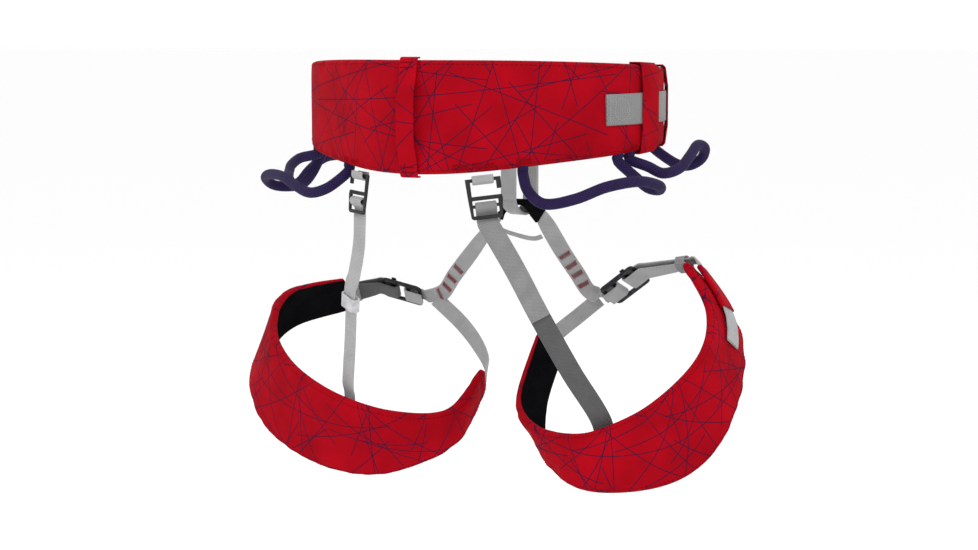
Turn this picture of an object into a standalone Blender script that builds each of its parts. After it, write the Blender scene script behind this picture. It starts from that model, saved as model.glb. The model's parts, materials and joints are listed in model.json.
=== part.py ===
"""Climbing harness: padded waist belt, two leg loops, belay loop, risers and gear loops.

Frame: +Z up, +Y towards the wearer's back, -X towards the wearer's right.
The origin is the centre of the waist opening, level with the middle of the belt.
Every size below is in millimetres; points are turned into metres when they are made.
"""
import math

import bmesh
import bpy
from mathutils import Vector

MM = 0.001
GAP = 0.3

# ---- waist belt -----------------------------------------------------------------------
PAD_END = 148
BELT_STEP = 4
SHELL = 1.0
BELT_THICK = 9.0
LINING = 1.0
WEB = 1.6
WAIST_WEB_WIDE = 22.0
WEB_INSET = SHELL + GAP + WEB / 2
TAIL_INSET = -(GAP + WEB / 2)
TAIL_END = 76
WEB_SPLICE = 96
KEEPERS = {"belt_keeper_rear": (89.0, 97.0), "belt_keeper_front": (107.5, 114.5)}
KEEPER_WALL = 1.0
HAUL_CENTRE = 0.0
HAUL_WIDE = 14.0
HAUL_THICK = 1.2

# ---- tie-in points and belay loop -----------------------------------------------------
TIE_X = 6.0
TIE_Z = 6.0
TIE_HIGH = 18.0
TIE_THICK = 3.0
LOOP_CENTRE = (6.0, -93.5)
LOOP_TURN = 20.0
LOOP_GAUGE = 24.0
LOOP_TOP = 22.5
LOOP_BOTTOM = -82.0
LOOP_WIDE = 16.0
LOOP_THICK = 3.0
APEX_Z = -72.0
APEX_HALF_GAP = 0.8

# ---- gear loops -----------------------------------------------------------------------
CORD_RADIUS = 3.9
CORD_SIDES = 9

# ---- risers ---------------------------------------------------------------------------
RISER_WIDE = 15.0
RISER_THICK = 1.4
TAB_THICK = 1.2
HOOK_BAR_DROP = 5.2
HOOK_THICK = 2.6
HOOK_HALF = 12.5

# ---- leg loops ------------------------------------------------------------------------
LEG_THICK = 8.6
LEG_GAP = 0.6
LEG_WEB_WIDE = 14.0
LEG_WEB = 1.4
SLOT_MIDDLE = SHELL + 1.0 + LEG_WEB / 2
CROTCH_WIDE = 12.0
BRIDGE_WIDE = 13.0
BRIDGE_THICK = 1.5


def mm(x, y, z):
    return Vector((x, y, z)) * MM


# ---- looks ----------------------------------------------------------------------------
LOOKS = {
    "red_fabric": ((0.62, 0.012, 0.02), 0.75, 0.0),
    "dark_red_fabric": ((0.36, 0.01, 0.016), 0.8, 0.0),
    "black_lining": ((0.012, 0.012, 0.014), 0.9, 0.0),
    "foam": ((0.10, 0.10, 0.11), 0.95, 0.0),
    "grey_webbing": ((0.36, 0.36, 0.36), 0.8, 0.0),
    "light_webbing": ((0.62, 0.62, 0.62), 0.8, 0.0),
    "dark_webbing": ((0.13, 0.13, 0.135), 0.8, 0.0),
    "purple_cord": ((0.055, 0.035, 0.22), 0.7, 0.0),
    "black_plastic": ((0.012, 0.012, 0.013), 0.4, 0.0),
    "grey_plastic": ((0.42, 0.42, 0.43), 0.45, 0.0),
    "buckle_metal": ((0.06, 0.06, 0.065), 0.35, 1.0),
}


def look(node, look_name):
    """A material of the node's own, with the colour, roughness and metal of its stuff."""
    colour, roughness, metallic = LOOKS[look_name]
    material = bpy.data.materials.new(node)
    material.use_nodes = True
    shader = material.node_tree.nodes["Principled BSDF"]
    shader.inputs["Base Color"].default_value = (*colour, 1.0)
    shader.inputs["Roughness"].default_value = roughness
    shader.inputs["Metallic"].default_value = metallic
    return material


# ---- making solids --------------------------------------------------------------------
def finish(name, bm, look_name, origin=None):
    """Turn a bmesh of world points into an object whose origin is its pivot."""
    pivot = origin or Vector((0, 0, 0))
    bmesh.ops.remove_doubles(bm, verts=bm.verts, dist=1e-6)
    bmesh.ops.translate(bm, verts=bm.verts, vec=-pivot)
    bmesh.ops.recalc_face_normals(bm, faces=bm.faces)
    mesh = bpy.data.meshes.new(name)
    bm.to_mesh(mesh)
    bm.free()
    mesh.shade_smooth()
    mesh.set_sharp_from_angle(angle=math.radians(40))
    mesh.materials.append(look(name, look_name))
    thing = bpy.data.objects.new(name, mesh)
    thing.location = pivot
    bpy.context.scene.collection.objects.link(thing)
    return thing


def bridge(bm, first, second, heights):
    """Faces between two rings. With heights, every quad is cut from its low corner on the
    first ring to its high corner on the second, so nested twisted layers stay nested."""
    count = len(first)
    for i in range(count):
        j = (i + 1) % count
        if heights is None:
            bm.faces.new((first[i], first[j], second[j], second[i]))
        elif heights[i] < heights[j]:
            bm.faces.new((first[i], first[j], second[j]))
            bm.faces.new((first[i], second[j], second[i]))
        else:
            bm.faces.new((first[i], first[j], second[i]))
            bm.faces.new((first[j], second[j], second[i]))


def loft(name, rings, look_name, closed=False, origin=None, heights=None):
    """Join equal rings of points into one closed body, capped unless it runs in a circle."""
    bm = bmesh.new()
    rows = [[bm.verts.new(point) for point in ring] for ring in rings]
    pairs = list(zip(rows, rows[1:]))
    if closed:
        pairs.append((rows[-1], rows[0]))
    for first, second in pairs:
        bridge(bm, first, second, heights)
    if not closed:
        bm.faces.new(rows[0])
        bm.faces.new(list(reversed(rows[-1])))
    return finish(name, bm, look_name, origin)


def sleeve(name, outer, inner, look_name, heights=None, origin=None):
    """A tube with walls: matching outer and inner rings along its length."""
    bm = bmesh.new()
    outside = [[bm.verts.new(point) for point in ring] for ring in outer]
    inside = [[bm.verts.new(point) for point in ring] for ring in inner]
    count = len(outside[0])
    for rows in (outside, inside):
        for first, second in zip(rows, rows[1:]):
            bridge(bm, first, second, heights)
    for end in (0, -1):
        for i in range(count):
            j = (i + 1) % count
            bm.faces.new((outside[end][i], outside[end][j], inside[end][j], inside[end][i]))
    return finish(name, bm, look_name, origin)


def plate(name, outline, holes, thickness, frame, look_name, origin=None):
    """Extrude a flat outline with holes; frame maps (along, across, out) to the world."""
    bm = bmesh.new()
    edges = []
    for loop in [outline] + holes:
        verts = [bm.verts.new(frame.at(u, v, -thickness / 2)) for u, v in loop]
        for i, vert in enumerate(verts):
            edges.append(bm.edges.new((vert, verts[(i + 1) % len(verts)])))
    bmesh.ops.triangle_fill(bm, use_beauty=True, use_dissolve=False, edges=edges)
    grown = bmesh.ops.extrude_face_region(bm, geom=list(bm.faces))
    moved = [item for item in grown["geom"] if isinstance(item, bmesh.types.BMVert)]
    bmesh.ops.translate(bm, verts=moved, vec=frame.out * thickness * MM)
    return finish(name, bm, look_name, origin)


class Frame:
    """A local frame: along, across and out, with its origin in metres."""

    def __init__(self, origin, along, out):
        self.origin = origin
        self.along = along.normalized()
        self.out = (out - self.along * out.dot(self.along)).normalized()
        self.across = self.out.cross(self.along)

    def at(self, u, v, n):
        return self.origin + (self.along * u + self.across * v + self.out * n) * MM


def spline(values, steps, closed=False):
    """Catmull-Rom through rows of numbers, with steps points to each span."""
    count = len(values)
    spans = count if closed else count - 1
    rows = []
    for span in range(spans):
        if closed:
            quad = [values[(span + k - 1) % count] for k in range(4)]
        else:
            quad = [values[min(max(span + k - 1, 0), count - 1)] for k in range(4)]
        for step in range(steps):
            t = step / steps
            rows.append([
                0.5 * (2 * b + (c - a) * t + (2 * a - 5 * b + 4 * c - d) * t * t
                       + (3 * b - a - 3 * c + d) * t ** 3)
                for a, b, c, d in zip(*quad)
            ])
    if not closed:
        rows.append(list(values[-1]))
    return rows


def even(points, spacing):
    """Every place on a polyline at an even spacing in mm, as (index, fraction)."""
    lengths = [0.0]
    for a, b in zip(points, points[1:]):
        lengths.append(lengths[-1] + (b - a).length)
    count = max(2, round(lengths[-1] / (spacing * MM)))
    places = []
    at = 0
    for i in range(count + 1):
        goal = lengths[-1] * i / count
        while at < len(lengths) - 2 and lengths[at + 1] < goal:
            at += 1
        places.append((at, (goal - lengths[at]) / max(1e-9, lengths[at + 1] - lengths[at])))
    return places


class Station:
    """One place on a strap: its centre, width direction, outward direction and width."""

    def __init__(self, point, side, width):
        self.point = point
        self.side = side
        self.width = width
        self.out = None

    def at(self, across, out):
        return self.point + (self.side * across + self.out * out) * MM


def aim(stations, closed=False):
    """Square each station's width direction to the route and find its outward direction."""
    count = len(stations)
    for i, station in enumerate(stations):
        if closed:
            run = stations[(i + 1) % count].point - stations[i - 1].point
        else:
            run = stations[min(i + 1, count - 1)].point - stations[max(i - 1, 0)].point
        run.normalize()
        side = station.side - run * station.side.dot(run)
        station.side = side.normalized()
        station.out = run.cross(station.side)
    return stations


def route(rows, spacing=4.0, steps=8):
    """Stations along a smooth route. Each row is x, y, z, then the width's x, y, z, width."""
    dense = spline(rows, steps)
    points = [mm(*row[:3]) for row in dense]
    stations = []
    for at, part in even(points, spacing):
        row = [a + (b - a) * part for a, b in zip(dense[at], dense[at + 1])]
        stations.append(Station(mm(*row[:3]), Vector(row[3:6]), row[6]))
    return aim(stations)


def strap_rings(stations, thickness, shift=0.0):
    rings = []
    for s in stations:
        half = s.width / 2
        low = shift - thickness / 2
        high = shift + thickness / 2
        rings.append([s.at(-half, low), s.at(half, low), s.at(half, high), s.at(-half, high)])
    return rings


def strap(name, stations, thickness, look_name, shift=0.0, closed=False, origin=None):
    rings = strap_rings(stations, thickness, shift)
    return loft(name, rings, look_name, closed, origin, heights=(-1, 1, 1, -1))


def sleeve_on(name, stations, spare, room_thick, wall, look_name, shift=0.0, origin=None):
    """A flat sleeve around a strap, its space spare wider than the strap."""
    def rings(grow):
        result = []
        for s in stations:
            a = (s.width + spare) / 2 + grow
            b = room_thick / 2 + grow
            c = min(a, b) * 0.15
            corners = [(-a, -b + c), (-a + c, -b), (a - c, -b), (a, -b + c),
                       (a, b - c), (a - c, b), (-a + c, b), (-a, b - c)]
            result.append([s.at(x, y + shift) for x, y in corners])
        return result
    heights = (-2, -1, 1, 2, 2, 1, -1, -2)
    return sleeve(name, rings(wall), rings(0.0), look_name, heights, origin)


def turn(centre_u, centre_n, radius, start, stop, count):
    """Points (u, n) on an arc, angles in degrees from the +u direction."""
    places = []
    for i in range(count + 1):
        angle = math.radians(start + (stop - start) * i / count)
        places.append((centre_u + radius * math.cos(angle), centre_n + radius * math.sin(angle)))
    return places


def local_stations(frame, places, width):
    """Stations from (u, n) places in a frame, with the width along the frame's across."""
    return [Station(frame.at(u, 0, n), frame.across.copy(), width) for u, n in places]


# ---- belt geometry --------------------------------------------------------------------
def belt_radius(angle):
    a = math.radians(angle)
    return 109 + 2 * math.cos(a) - 25 * math.cos(2 * a) + 14 * math.cos(3 * a)


def belt_plan(angle):
    a = math.radians(angle)
    return Vector((-belt_radius(angle) * math.sin(a), belt_radius(angle) * math.cos(a), 0))


def belt_out(angle):
    run = belt_plan(angle + 0.5) - belt_plan(angle - 0.5)
    return Vector((-run.y, run.x, 0)).normalized() * -1


def belt_top(angle):
    a = math.radians(angle)
    return 35 + 6.5 * math.cos(a) - 1.5 * math.cos(2 * a)


def belt_bottom(angle):
    a = math.radians(angle)
    return -27 - 12.5 * math.cos(a) - math.cos(2 * a)


def belt_middle(angle):
    return (belt_top(angle) + belt_bottom(angle)) / 2


def belt_half(angle):
    """Half the pad's height, drawn in to round its front corners."""
    past = max(0.0, abs(angle) - (PAD_END - 9)) / 9
    return (belt_top(angle) - belt_bottom(angle)) / 2 - 7 * past ** 2.5


def belt_point(angle, inset, height):
    """A point at a depth inset from the outer face and a height above the origin."""
    place = belt_plan(angle) - belt_out(angle) * inset
    return mm(place.x, place.y, height)


def belt_angles(start, stop, step=BELT_STEP):
    """Angles from start to stop; pieces of the pad share one step, so they nest."""
    count = max(1, math.ceil(abs(stop - start) / step))
    return [start + (stop - start) * i / count for i in range(count + 1)]


def shell_section(half, thick):
    """Outer cover in section: it wraps both edges and is open towards the wearer."""
    lip = SHELL
    return [(0, half - 2.0), (1.8, half), (thick, half), (thick, half - lip),
            (lip, half - lip), (lip, -half + lip), (thick, -half + lip),
            (thick, -half), (1.8, -half), (0, -half + 2.0)]


def box_section(near, far, half):
    return [(near, half), (far, half), (far, -half), (near, -half)]


def belt_loft(name, angles, section, look_name):
    rings = []
    for angle in angles:
        middle = belt_middle(angle)
        rings.append([belt_point(angle, inset, middle + height)
                      for inset, height in section(belt_half(angle))])
    return loft(name, rings, look_name)


def make_belt_pad():
    angles = belt_angles(-PAD_END, PAD_END)
    edge = SHELL + GAP
    foam_near = SHELL + GAP + WEB + GAP
    foam_far = BELT_THICK - LINING - GAP
    belt_loft("belt_shell", angles, lambda h: shell_section(h, BELT_THICK), "red_fabric")
    belt_loft("belt_foam", angles, lambda h: box_section(foam_near, foam_far, h - edge), "foam")
    belt_loft("belt_lining", angles,
              lambda h: box_section(BELT_THICK - LINING, BELT_THICK, h - edge), "black_lining")


# ---- waist buckle and webbing ---------------------------------------------------------
BUCKLE_ANGLE = 159.5


class BuckleSizes:
    """A slide-block buckle: a slotted frame, and a block that slides over its window."""

    def __init__(self, half_long, web_wide):
        self.half_long = half_long
        self.half_web = web_wide / 2
        self.rail_in = self.half_web + 1.4
        self.half_wide = self.rail_in + 3.2
        self.bar = 2.4
        self.thick = 2.4
        self.turn = 2.9
        self.middle = -0.33 * half_long
        self.block_turn = 0.36 * half_long


def rounded_box(u0, u1, v0, v1, corner, arc=2):
    points = []
    for cu, cv, start in ((u1 - corner, v1 - corner, 0), (u0 + corner, v1 - corner, 90),
                          (u0 + corner, v0 + corner, 180), (u1 - corner, v0 + corner, 270)):
        for i in range(arc + 1):
            a = math.radians(start + 90 * i / arc)
            points.append((cu + corner * math.cos(a), cv + corner * math.sin(a)))
    return points


def make_buckle(prefix, frame, size, look_name):
    end = size.half_long
    outline = rounded_box(-end, end, -size.half_wide, size.half_wide, 3.0)
    half_bar = size.bar / 2
    fixed = rounded_box(-end + size.bar, size.middle - half_bar,
                        -size.rail_in, size.rail_in, 1.0, 1)
    window = rounded_box(size.middle + half_bar, end - size.bar,
                         -size.rail_in, size.rail_in, 1.0, 1)
    plate(prefix + "_frame", outline, [fixed, window], size.thick, frame, look_name)
    w = size.rail_in - GAP
    s = size.half_web + GAP
    top = size.thick / 2 + GAP
    h = 0.9
    lug = size.half_wide + 0.6
    profile = [(-lug, top + 1.3), (-lug, top), (-w, top), (-w, -h), (w, -h), (w, top),
               (lug, top), (lug, top + 1.3), (s, top + 1.3), (s, h), (-s, h), (-s, top + 1.3)]
    start = size.block_turn - 0.6
    rings = [[frame.at(u, v, n) for v, n in profile] for u in (start, start + 3.8)]
    loft(prefix + "_slider", rings, look_name, origin=frame.at(start + 1.9, 0, 0))


def fixed_loop_places(size, reach):
    """The sewn end of a strap: in on top, round the middle bar and back underneath."""
    r = size.turn
    places = [(-size.half_long - reach, r * 0.55), (-size.half_long, r)]
    places += turn(size.middle, 0, r, 90, -90, 6)
    places.append((-size.half_long - 1, -r))
    return places


def adjust_places(size):
    """The free strap: in under the far bar, round the block and back out on top."""
    r = size.turn
    far = size.half_long + 2
    places = [(far, -r), ((far + size.block_turn) / 2, -r)]
    places += turn(size.block_turn, 0, r, 270, 90, 6)
    places += [((far + size.block_turn) / 2, r), (far, r)]
    return places


def make_waist_webbing():
    centre = belt_point(BUCKLE_ANGLE, WEB_INSET - 2.1, belt_middle(BUCKLE_ANGLE))
    ahead = belt_point(BUCKLE_ANGLE - 6, WEB_INSET, belt_middle(BUCKLE_ANGLE))
    behind = belt_point(BUCKLE_ANGLE + 6, WEB_INSET, belt_middle(BUCKLE_ANGLE))
    frame = Frame(centre, ahead - behind, belt_out(BUCKLE_ANGLE))
    size = BuckleSizes(13.5, WAIST_WEB_WIDE)
    make_buckle("waist_buckle", frame, size, "buckle_metal")
    up = Vector((0, 0, 1))
    main = []
    for angle in belt_angles(WEB_SPLICE, -188):
        main.append(Station(belt_point(angle, WEB_INSET, belt_middle(angle)), up.copy(),
                            WAIST_WEB_WIDE))
    fold = local_stations(frame, fixed_loop_places(size, 3.0), WAIST_WEB_WIDE)
    strap("waist_webbing", aim(main + fold), WEB, "grey_webbing")
    inner = []
    for angle in belt_angles(WEB_SPLICE + BELT_STEP, PAD_END):
        inner.append(Station(belt_point(angle, WEB_INSET, belt_middle(angle)), up.copy(),
                             WAIST_WEB_WIDE))
    around = local_stations(frame, adjust_places(size), WAIST_WEB_WIDE)
    outer = []
    for angle in belt_angles(PAD_END, TAIL_END):
        near_buckle = max(0.0, (angle - 140) / 8)
        inset = TAIL_INSET - 1.2 * near_buckle
        outer.append(Station(belt_point(angle, inset, belt_middle(angle)), up.copy(),
                             WAIST_WEB_WIDE))
    strap("waist_webbing_tail", aim(inner + around + outer), WEB, "light_webbing")


def make_belt_keepers():
    for name, (start, stop) in KEEPERS.items():
        outer = []
        inner = []
        for angle in belt_angles(start, stop, 2.4):
            middle = belt_middle(angle)
            half = belt_half(angle)
            for rings, grow in ((outer, KEEPER_WALL), (inner, 0.0)):
                far = BELT_THICK + 0.4 + grow
                near = -(GAP + WEB + 0.5) - grow
                edge = half + 0.4 + grow
                tail = WAIST_WEB_WIDE / 2 + 3
                profile = [(0.5, edge), (far, edge), (far, -edge), (0.5, -edge),
                           (-0.6 - grow, -edge + 2.2), (near, -tail), (near, tail),
                           (-0.6 - grow, edge - 2.2)]
                rings.append([belt_point(angle, inset, middle + height)
                              for inset, height in profile])
        sleeve(name, outer, inner, "dark_red_fabric")


def make_haul_loop():
    top = belt_top(HAUL_CENTRE)
    bottom = belt_bottom(HAUL_CENTRE)
    out = belt_out(HAUL_CENTRE)
    side = Vector((-out.y, out.x, 0))
    rows = []
    for inset, height in ((4.0, top + 1.2), (0.6, top + 1.0), (-1.3, top - 3), (-2.4, top - 10),
                          (-6.6, 16), (-6.8, 0), (-6.6, -16), (-2.4, bottom + 10),
                          (-1.3, bottom + 3), (0.6, bottom - 1.0), (4.0, bottom - 1.2)):
        point = belt_point(HAUL_CENTRE, inset, height) / MM
        rows.append([*point, *side, HAUL_WIDE])
    strap("haul_loop", route(rows, 3.5, 6), HAUL_THICK, "red_fabric")


# ---- tie-in point and belay loop ------------------------------------------------------
def make_tie_in_loop():
    """Closed loop sewn to the front of the waist webbing, its hole upright."""
    inset = WEB_INSET - WEB / 2 - GAP - TIE_THICK / 2 - 0.6
    back = [belt_point(angle, inset, 0) / MM for angle in (175, 181, 187, 193)]
    plan = [(point.x, point.y) for point in back]
    front = plan[0][1] - 23.0
    plan += [(TIE_X + 18.5, front + 11), (TIE_X + 13.5, front + 1), (TIE_X, front),
             (TIE_X - 13, front + 4.5), (TIE_X - 17.5, front + 13)]
    rings = spline(plan, 4, closed=True)
    stations = [Station(mm(x, y, TIE_Z), Vector((0, 0, 1)), TIE_HIGH) for x, y in rings]
    strap("tie_in_loop", aim(stations, closed=True), TIE_THICK, "grey_webbing", closed=True)


def loop_across():
    a = math.radians(LOOP_TURN)
    return Vector((math.cos(a), -math.sin(a), 0))


def loop_depth():
    a = math.radians(LOOP_TURN)
    return Vector((-math.sin(a), -math.cos(a), 0))


def make_belay_loop():
    radius = LOOP_GAUGE / 2
    high = LOOP_TOP - LOOP_THICK / 2 - radius
    low = LOOP_BOTTOM + LOOP_THICK / 2 + radius
    places = []
    for centre, start in ((high, 0), (low, 180)):
        for i in range(10):
            a = math.radians(start + 180 * (i + 0.5) / 10)
            places.append((radius * math.cos(a), centre + radius * math.sin(a)))
        side = -1 if start == 0 else 1
        for part in (0.0, 0.25, 0.5, 0.75, 1.0):
            z = centre + (low - high) * part * (1 if start == 0 else -1)
            places.append((side * radius, z))
    centre = mm(*LOOP_CENTRE, 0)
    stations = [Station(centre + (loop_depth() * d + Vector((0, 0, z))) * MM,
                        loop_across(), LOOP_WIDE) for d, z in places]
    pivot = mm(*LOOP_CENTRE, TIE_Z + TIE_HIGH / 2)
    strap("belay_loop", aim(stations, closed=True), LOOP_THICK, "light_webbing",
          closed=True, origin=pivot)


def make_cross_strap():
    """Thin strap that holds the two arms of the V together below the belay loop."""
    rows = [(26.5, -97, -93), (17, -96.5, -96.5), (-3, -96.5, -100.5), (-11.5, -97, -98.5)]
    stations = route([[*row, 0.1, 0.5, 1, 4.0] for row in rows], 5.0)
    strap("bridge_cross_strap", stations, 0.9, "light_webbing")


# ---- gear loops -----------------------------------------------------------------------
GEAR_LOOPS = {
    "gear_loop_right_rear": (47, 82, [
        (-80, 75, -51), (-95, 80, -59), (-117, 78, -55), (-135, 66, -47), (-149, 43, -44),
        (-154, 18, -48), (-150, 6, -52), (-141, 5, -51), (-134, 12, -43)]),
    "gear_loop_right_front": (86.7, 117.5, [
        (-139, 1, -36), (-148, -6, -41), (-155, -20, -38), (-156, -38, -30), (-155, -56, -23),
        (-156, -68, -26), (-151, -74, -34), (-142, -72, -39), (-132, -68, -37)]),
    "gear_loop_left_rear": (-43, -93, [
        (71, 77, -48), (80, 80, -54), (95, 76, -57), (114, 64, -53), (134, 48, -48),
        (158, 26, -48), (173, 9, -52), (175, -4, -58), (168, -12, -60), (155, -14, -58),
        (142, -8, -49)]),
    "gear_loop_left_front": (-82, -117, [
        (140, 12, -36), (156, -2, -42), (170, -22, -47), (183, -42, -55), (190, -60, -61),
        (190, -71, -60), (182, -74, -50), (165, -69, -40), (142, -67, -36)]),
}


def cord_end(angle):
    return belt_point(angle, BELT_THICK / 2, belt_bottom(angle) - CORD_RADIUS - 0.5) / MM


def make_gear_loops():
    for name, (start, stop, between) in GEAR_LOOPS.items():
        first = cord_end(start)
        last = cord_end(stop)
        rows = [[*first, 0, 0, 1, 0]]
        rows += [[*point, 0, 0, 1, 0] for point in between]
        rows += [[*last, 0, 0, 1, 0]]
        dense = spline(rows, 8)
        points = [mm(*row[:3]) for row in dense]
        centres = []
        for at, part in even(points, 6.2):
            centres.append(points[at].lerp(points[at + 1], part))
        rings = []
        side = Vector((0.3, 0.4, 1)).normalized()
        count = len(centres)
        for i, centre in enumerate(centres):
            run = centres[min(i + 1, count - 1)] - centres[max(i - 1, 0)]
            run.normalize()
            side = (side - run * side.dot(run)).normalized()
            other = run.cross(side)
            reach = []
            if i == 0:
                reach = [(-0.92, 0.35), (-0.6, 0.78)]
            rings += [cord_ring(centre, run, side, other, back, size) for back, size in reach]
            rings.append(cord_ring(centre, run, side, other, 0, 1.0))
            if i == count - 1:
                rings += [cord_ring(centre, run, side, other, back, size)
                          for back, size in ((0.6, 0.78), (0.92, 0.35))]
        pivot = (mm(*first) + mm(*last)) / 2
        loft(name, rings, "purple_cord", origin=pivot)


def cord_ring(centre, run, side, other, back, size):
    ring = []
    for k in range(CORD_SIDES):
        a = 2 * math.pi * k / CORD_SIDES
        spoke = side * math.cos(a) + other * math.sin(a)
        ring.append(centre + (run * back + spoke * size) * CORD_RADIUS * MM)
    return ring


# ---- risers ---------------------------------------------------------------------------
RISERS = {
    "left": [(58, 69, -95), (68, 59, -119), (74, 54, -130), (82, 43, -168), (92, 29, -203),
             (93, 25, -212), (94, 21, -236)],
    "right": [(-65, 66, -106), (-77, 52, -139), (-86, 44, -160), (-98, 35, -186),
              (-106, 23, -206), (-109, 12, -220), (-110, 8.5, -229), (-110, 9.5, -242)],
}
RISER_ANGLES = {"left": -33.0, "right": 30.5}
HOOK_ENDS = {"left": (53.5, 80, -72), "right": (-53, 84, -70)}
RISER_SPLICE = {"left": 0.40, "right": 0.38}
MIDDLE_BAR = 18.4


def hook_frame(side):
    sign = 1 if side == "left" else -1
    angle = RISER_ANGLES[side]
    bar = belt_point(angle, BELT_THICK / 2, belt_bottom(angle) - HOOK_BAR_DROP)
    down = mm(*HOOK_ENDS[side]) - bar
    return sign, angle, bar, Frame(bar, down, belt_out(angle))


def make_riser(side):
    sign, angle, bar, frame = hook_frame(side)
    if frame.across.x * sign < 0:
        flip = -1
    else:
        flip = 1
    half = HOOK_HALF
    inner = half - 3.4
    outline = [(-1.2, -half), (-1.2, half), (7.0, half), (7.0, inner), (1.2, inner),
               (1.2, -inner), (11.4, -inner), (11.4, half - 0.6), (14, half), (26.4, half - 1.5),
               (27.6, half - 3), (27.6, -half + 3), (26.4, -half + 1.5), (14, -half + 0.6)]
    upper = [(14.2, -inner), (14.2, inner), (17.3, inner), (17.3, -inner)]
    lower = [(19.5, -inner), (19.5, inner), (25.0, inner), (25.0, -inner)]
    turned = [(u, v * flip) for u, v in outline]
    holes = [[(u, v * flip) for u, v in hole] for hole in (upper, lower)]
    plate(f"riser_{side}_hook", turned, holes, HOOK_THICK * 0.7, frame, "black_plastic",
          origin=bar)
    across = frame.across
    radius = 2.7
    rise = -(HOOK_BAR_DROP - 2.3)
    places = [(rise, -radius), (rise / 2, -radius)]
    places += turn(0, 0, radius, 270, 450, 6)
    places += [(rise / 2, radius), (rise, radius)]
    tab = aim(local_stations(frame, places, RISER_WIDE))
    strap(f"riser_{side}_tab", tab, TAB_THICK, "light_webbing")
    r = 2.3
    m = MIDDLE_BAR
    places = [(m + 2.6, -r)] + turn(m, 0, r, 270, 90, 6)
    places += [(m + 0.9, r), (m + 2.2, r * 0.6), (m + 3.7, -0.7), (m + 5.2, -r), (m + 7.5, -2.7)]
    top = local_stations(frame, places, RISER_WIDE)
    begin = frame.at(m + 12, 0, -2.7) / MM
    rows = [[*begin, *across, RISER_WIDE]]
    rows += [[*point, *across, RISER_WIDE] for point in RISERS[side]]
    down = route(rows, 5.0)
    cut = round(len(down) * RISER_SPLICE[side])
    colour = "light_webbing" if side == "left" else "grey_webbing"
    strap(f"riser_{side}_upper_strap", aim(top + down[:cut + 2]), RISER_THICK, colour)
    shift = -(RISER_THICK + GAP)
    flips = 1 if down[cut].out.dot(frame.out) > 0 else -1
    strap(f"riser_{side}_lower_strap", down[cut - 1:], RISER_THICK,
          "light_webbing" if side == "left" else "dark_webbing", shift * flips)
    if side == "left":
        sleeve_on("riser_left_adjuster", down[cut - 1:cut + 2], 1.4,
                  2 * RISER_THICK + 3 * GAP + 0.9, 1.5, "grey_plastic",
                  shift * flips / 2)


# ---- leg loops ------------------------------------------------------------------------
# Each row: centre of the outer face, then the direction towards its upper edge, then height.
LEG_PADS = {
    "right": [
        (-27, -79, -176, 0.73, 0.51, 0.46, 26), (-24, -46, -223, 0.63, 0.65, 0.42, 27),
        (-53, 0, -244, 0.28, 0.25, 0.93, 29), (-107, 23, -248, -0.01, -0.1, 1.0, 45),
        (-155, -8, -233, 0.5, 0.29, 0.82, 60), (-178, -48, -194, 0.36, 0.58, 0.73, 53),
        (-168, -88, -155, 0.27, 0.84, 0.46, 42), (-133, -106, -115, 0.0, 0.9, 0.43, 27)],
    "left": [
        (13, -53, -205, -0.25, 0.64, 0.73, 22), (21, -11, -238, 0.03, 0.49, 0.87, 31),
        (59, 23, -248, -0.17, 0.29, 0.94, 54), (109, 32, -240, -0.27, 0.22, 0.94, 64),
        (160, 19, -218, -0.49, 0.13, 0.86, 60), (193, -12, -188, -0.58, 0.29, 0.76, 49),
        (196, -57, -161, -0.2, 0.38, 0.9, 36), (163, -97, -152, 0.1, -0.03, 0.99, 27)],
}


def leg_stations(side):
    stations = route(LEG_PADS[side], 8.0)
    centre = mm(*[sum(row[k] for row in LEG_PADS[side]) / len(LEG_PADS[side])
                  for k in range(3)])
    middle = stations[len(stations) // 2]
    if middle.out.dot(middle.point - centre) < 0:
        for station in stations:
            station.out = -station.out
    return stations


def leg_loft(name, stations, section, look_name):
    rings = []
    for s in stations:
        rings.append([s.at(height, -inset) for inset, height in section(s.width / 2)])
    heights = [height for _, height in section(stations[0].width / 2)]
    return loft(name, rings, look_name, heights=heights)


def make_leg_pad(side, stations):
    slot = SLOT_MIDDLE + LEG_WEB / 2 + LEG_GAP
    far = LEG_THICK - LINING - LEG_GAP
    edge = SHELL + LEG_GAP
    leg_loft(f"leg_{side}_shell", stations, lambda h: shell_section(h, LEG_THICK), "red_fabric")
    leg_loft(f"leg_{side}_foam", stations[1:-1], lambda h: box_section(slot, far, h - edge), "foam")
    leg_loft(f"leg_{side}_lining", stations[1:-1],
             lambda h: box_section(LEG_THICK - LINING, LEG_THICK, h - edge), "black_lining")


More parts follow.
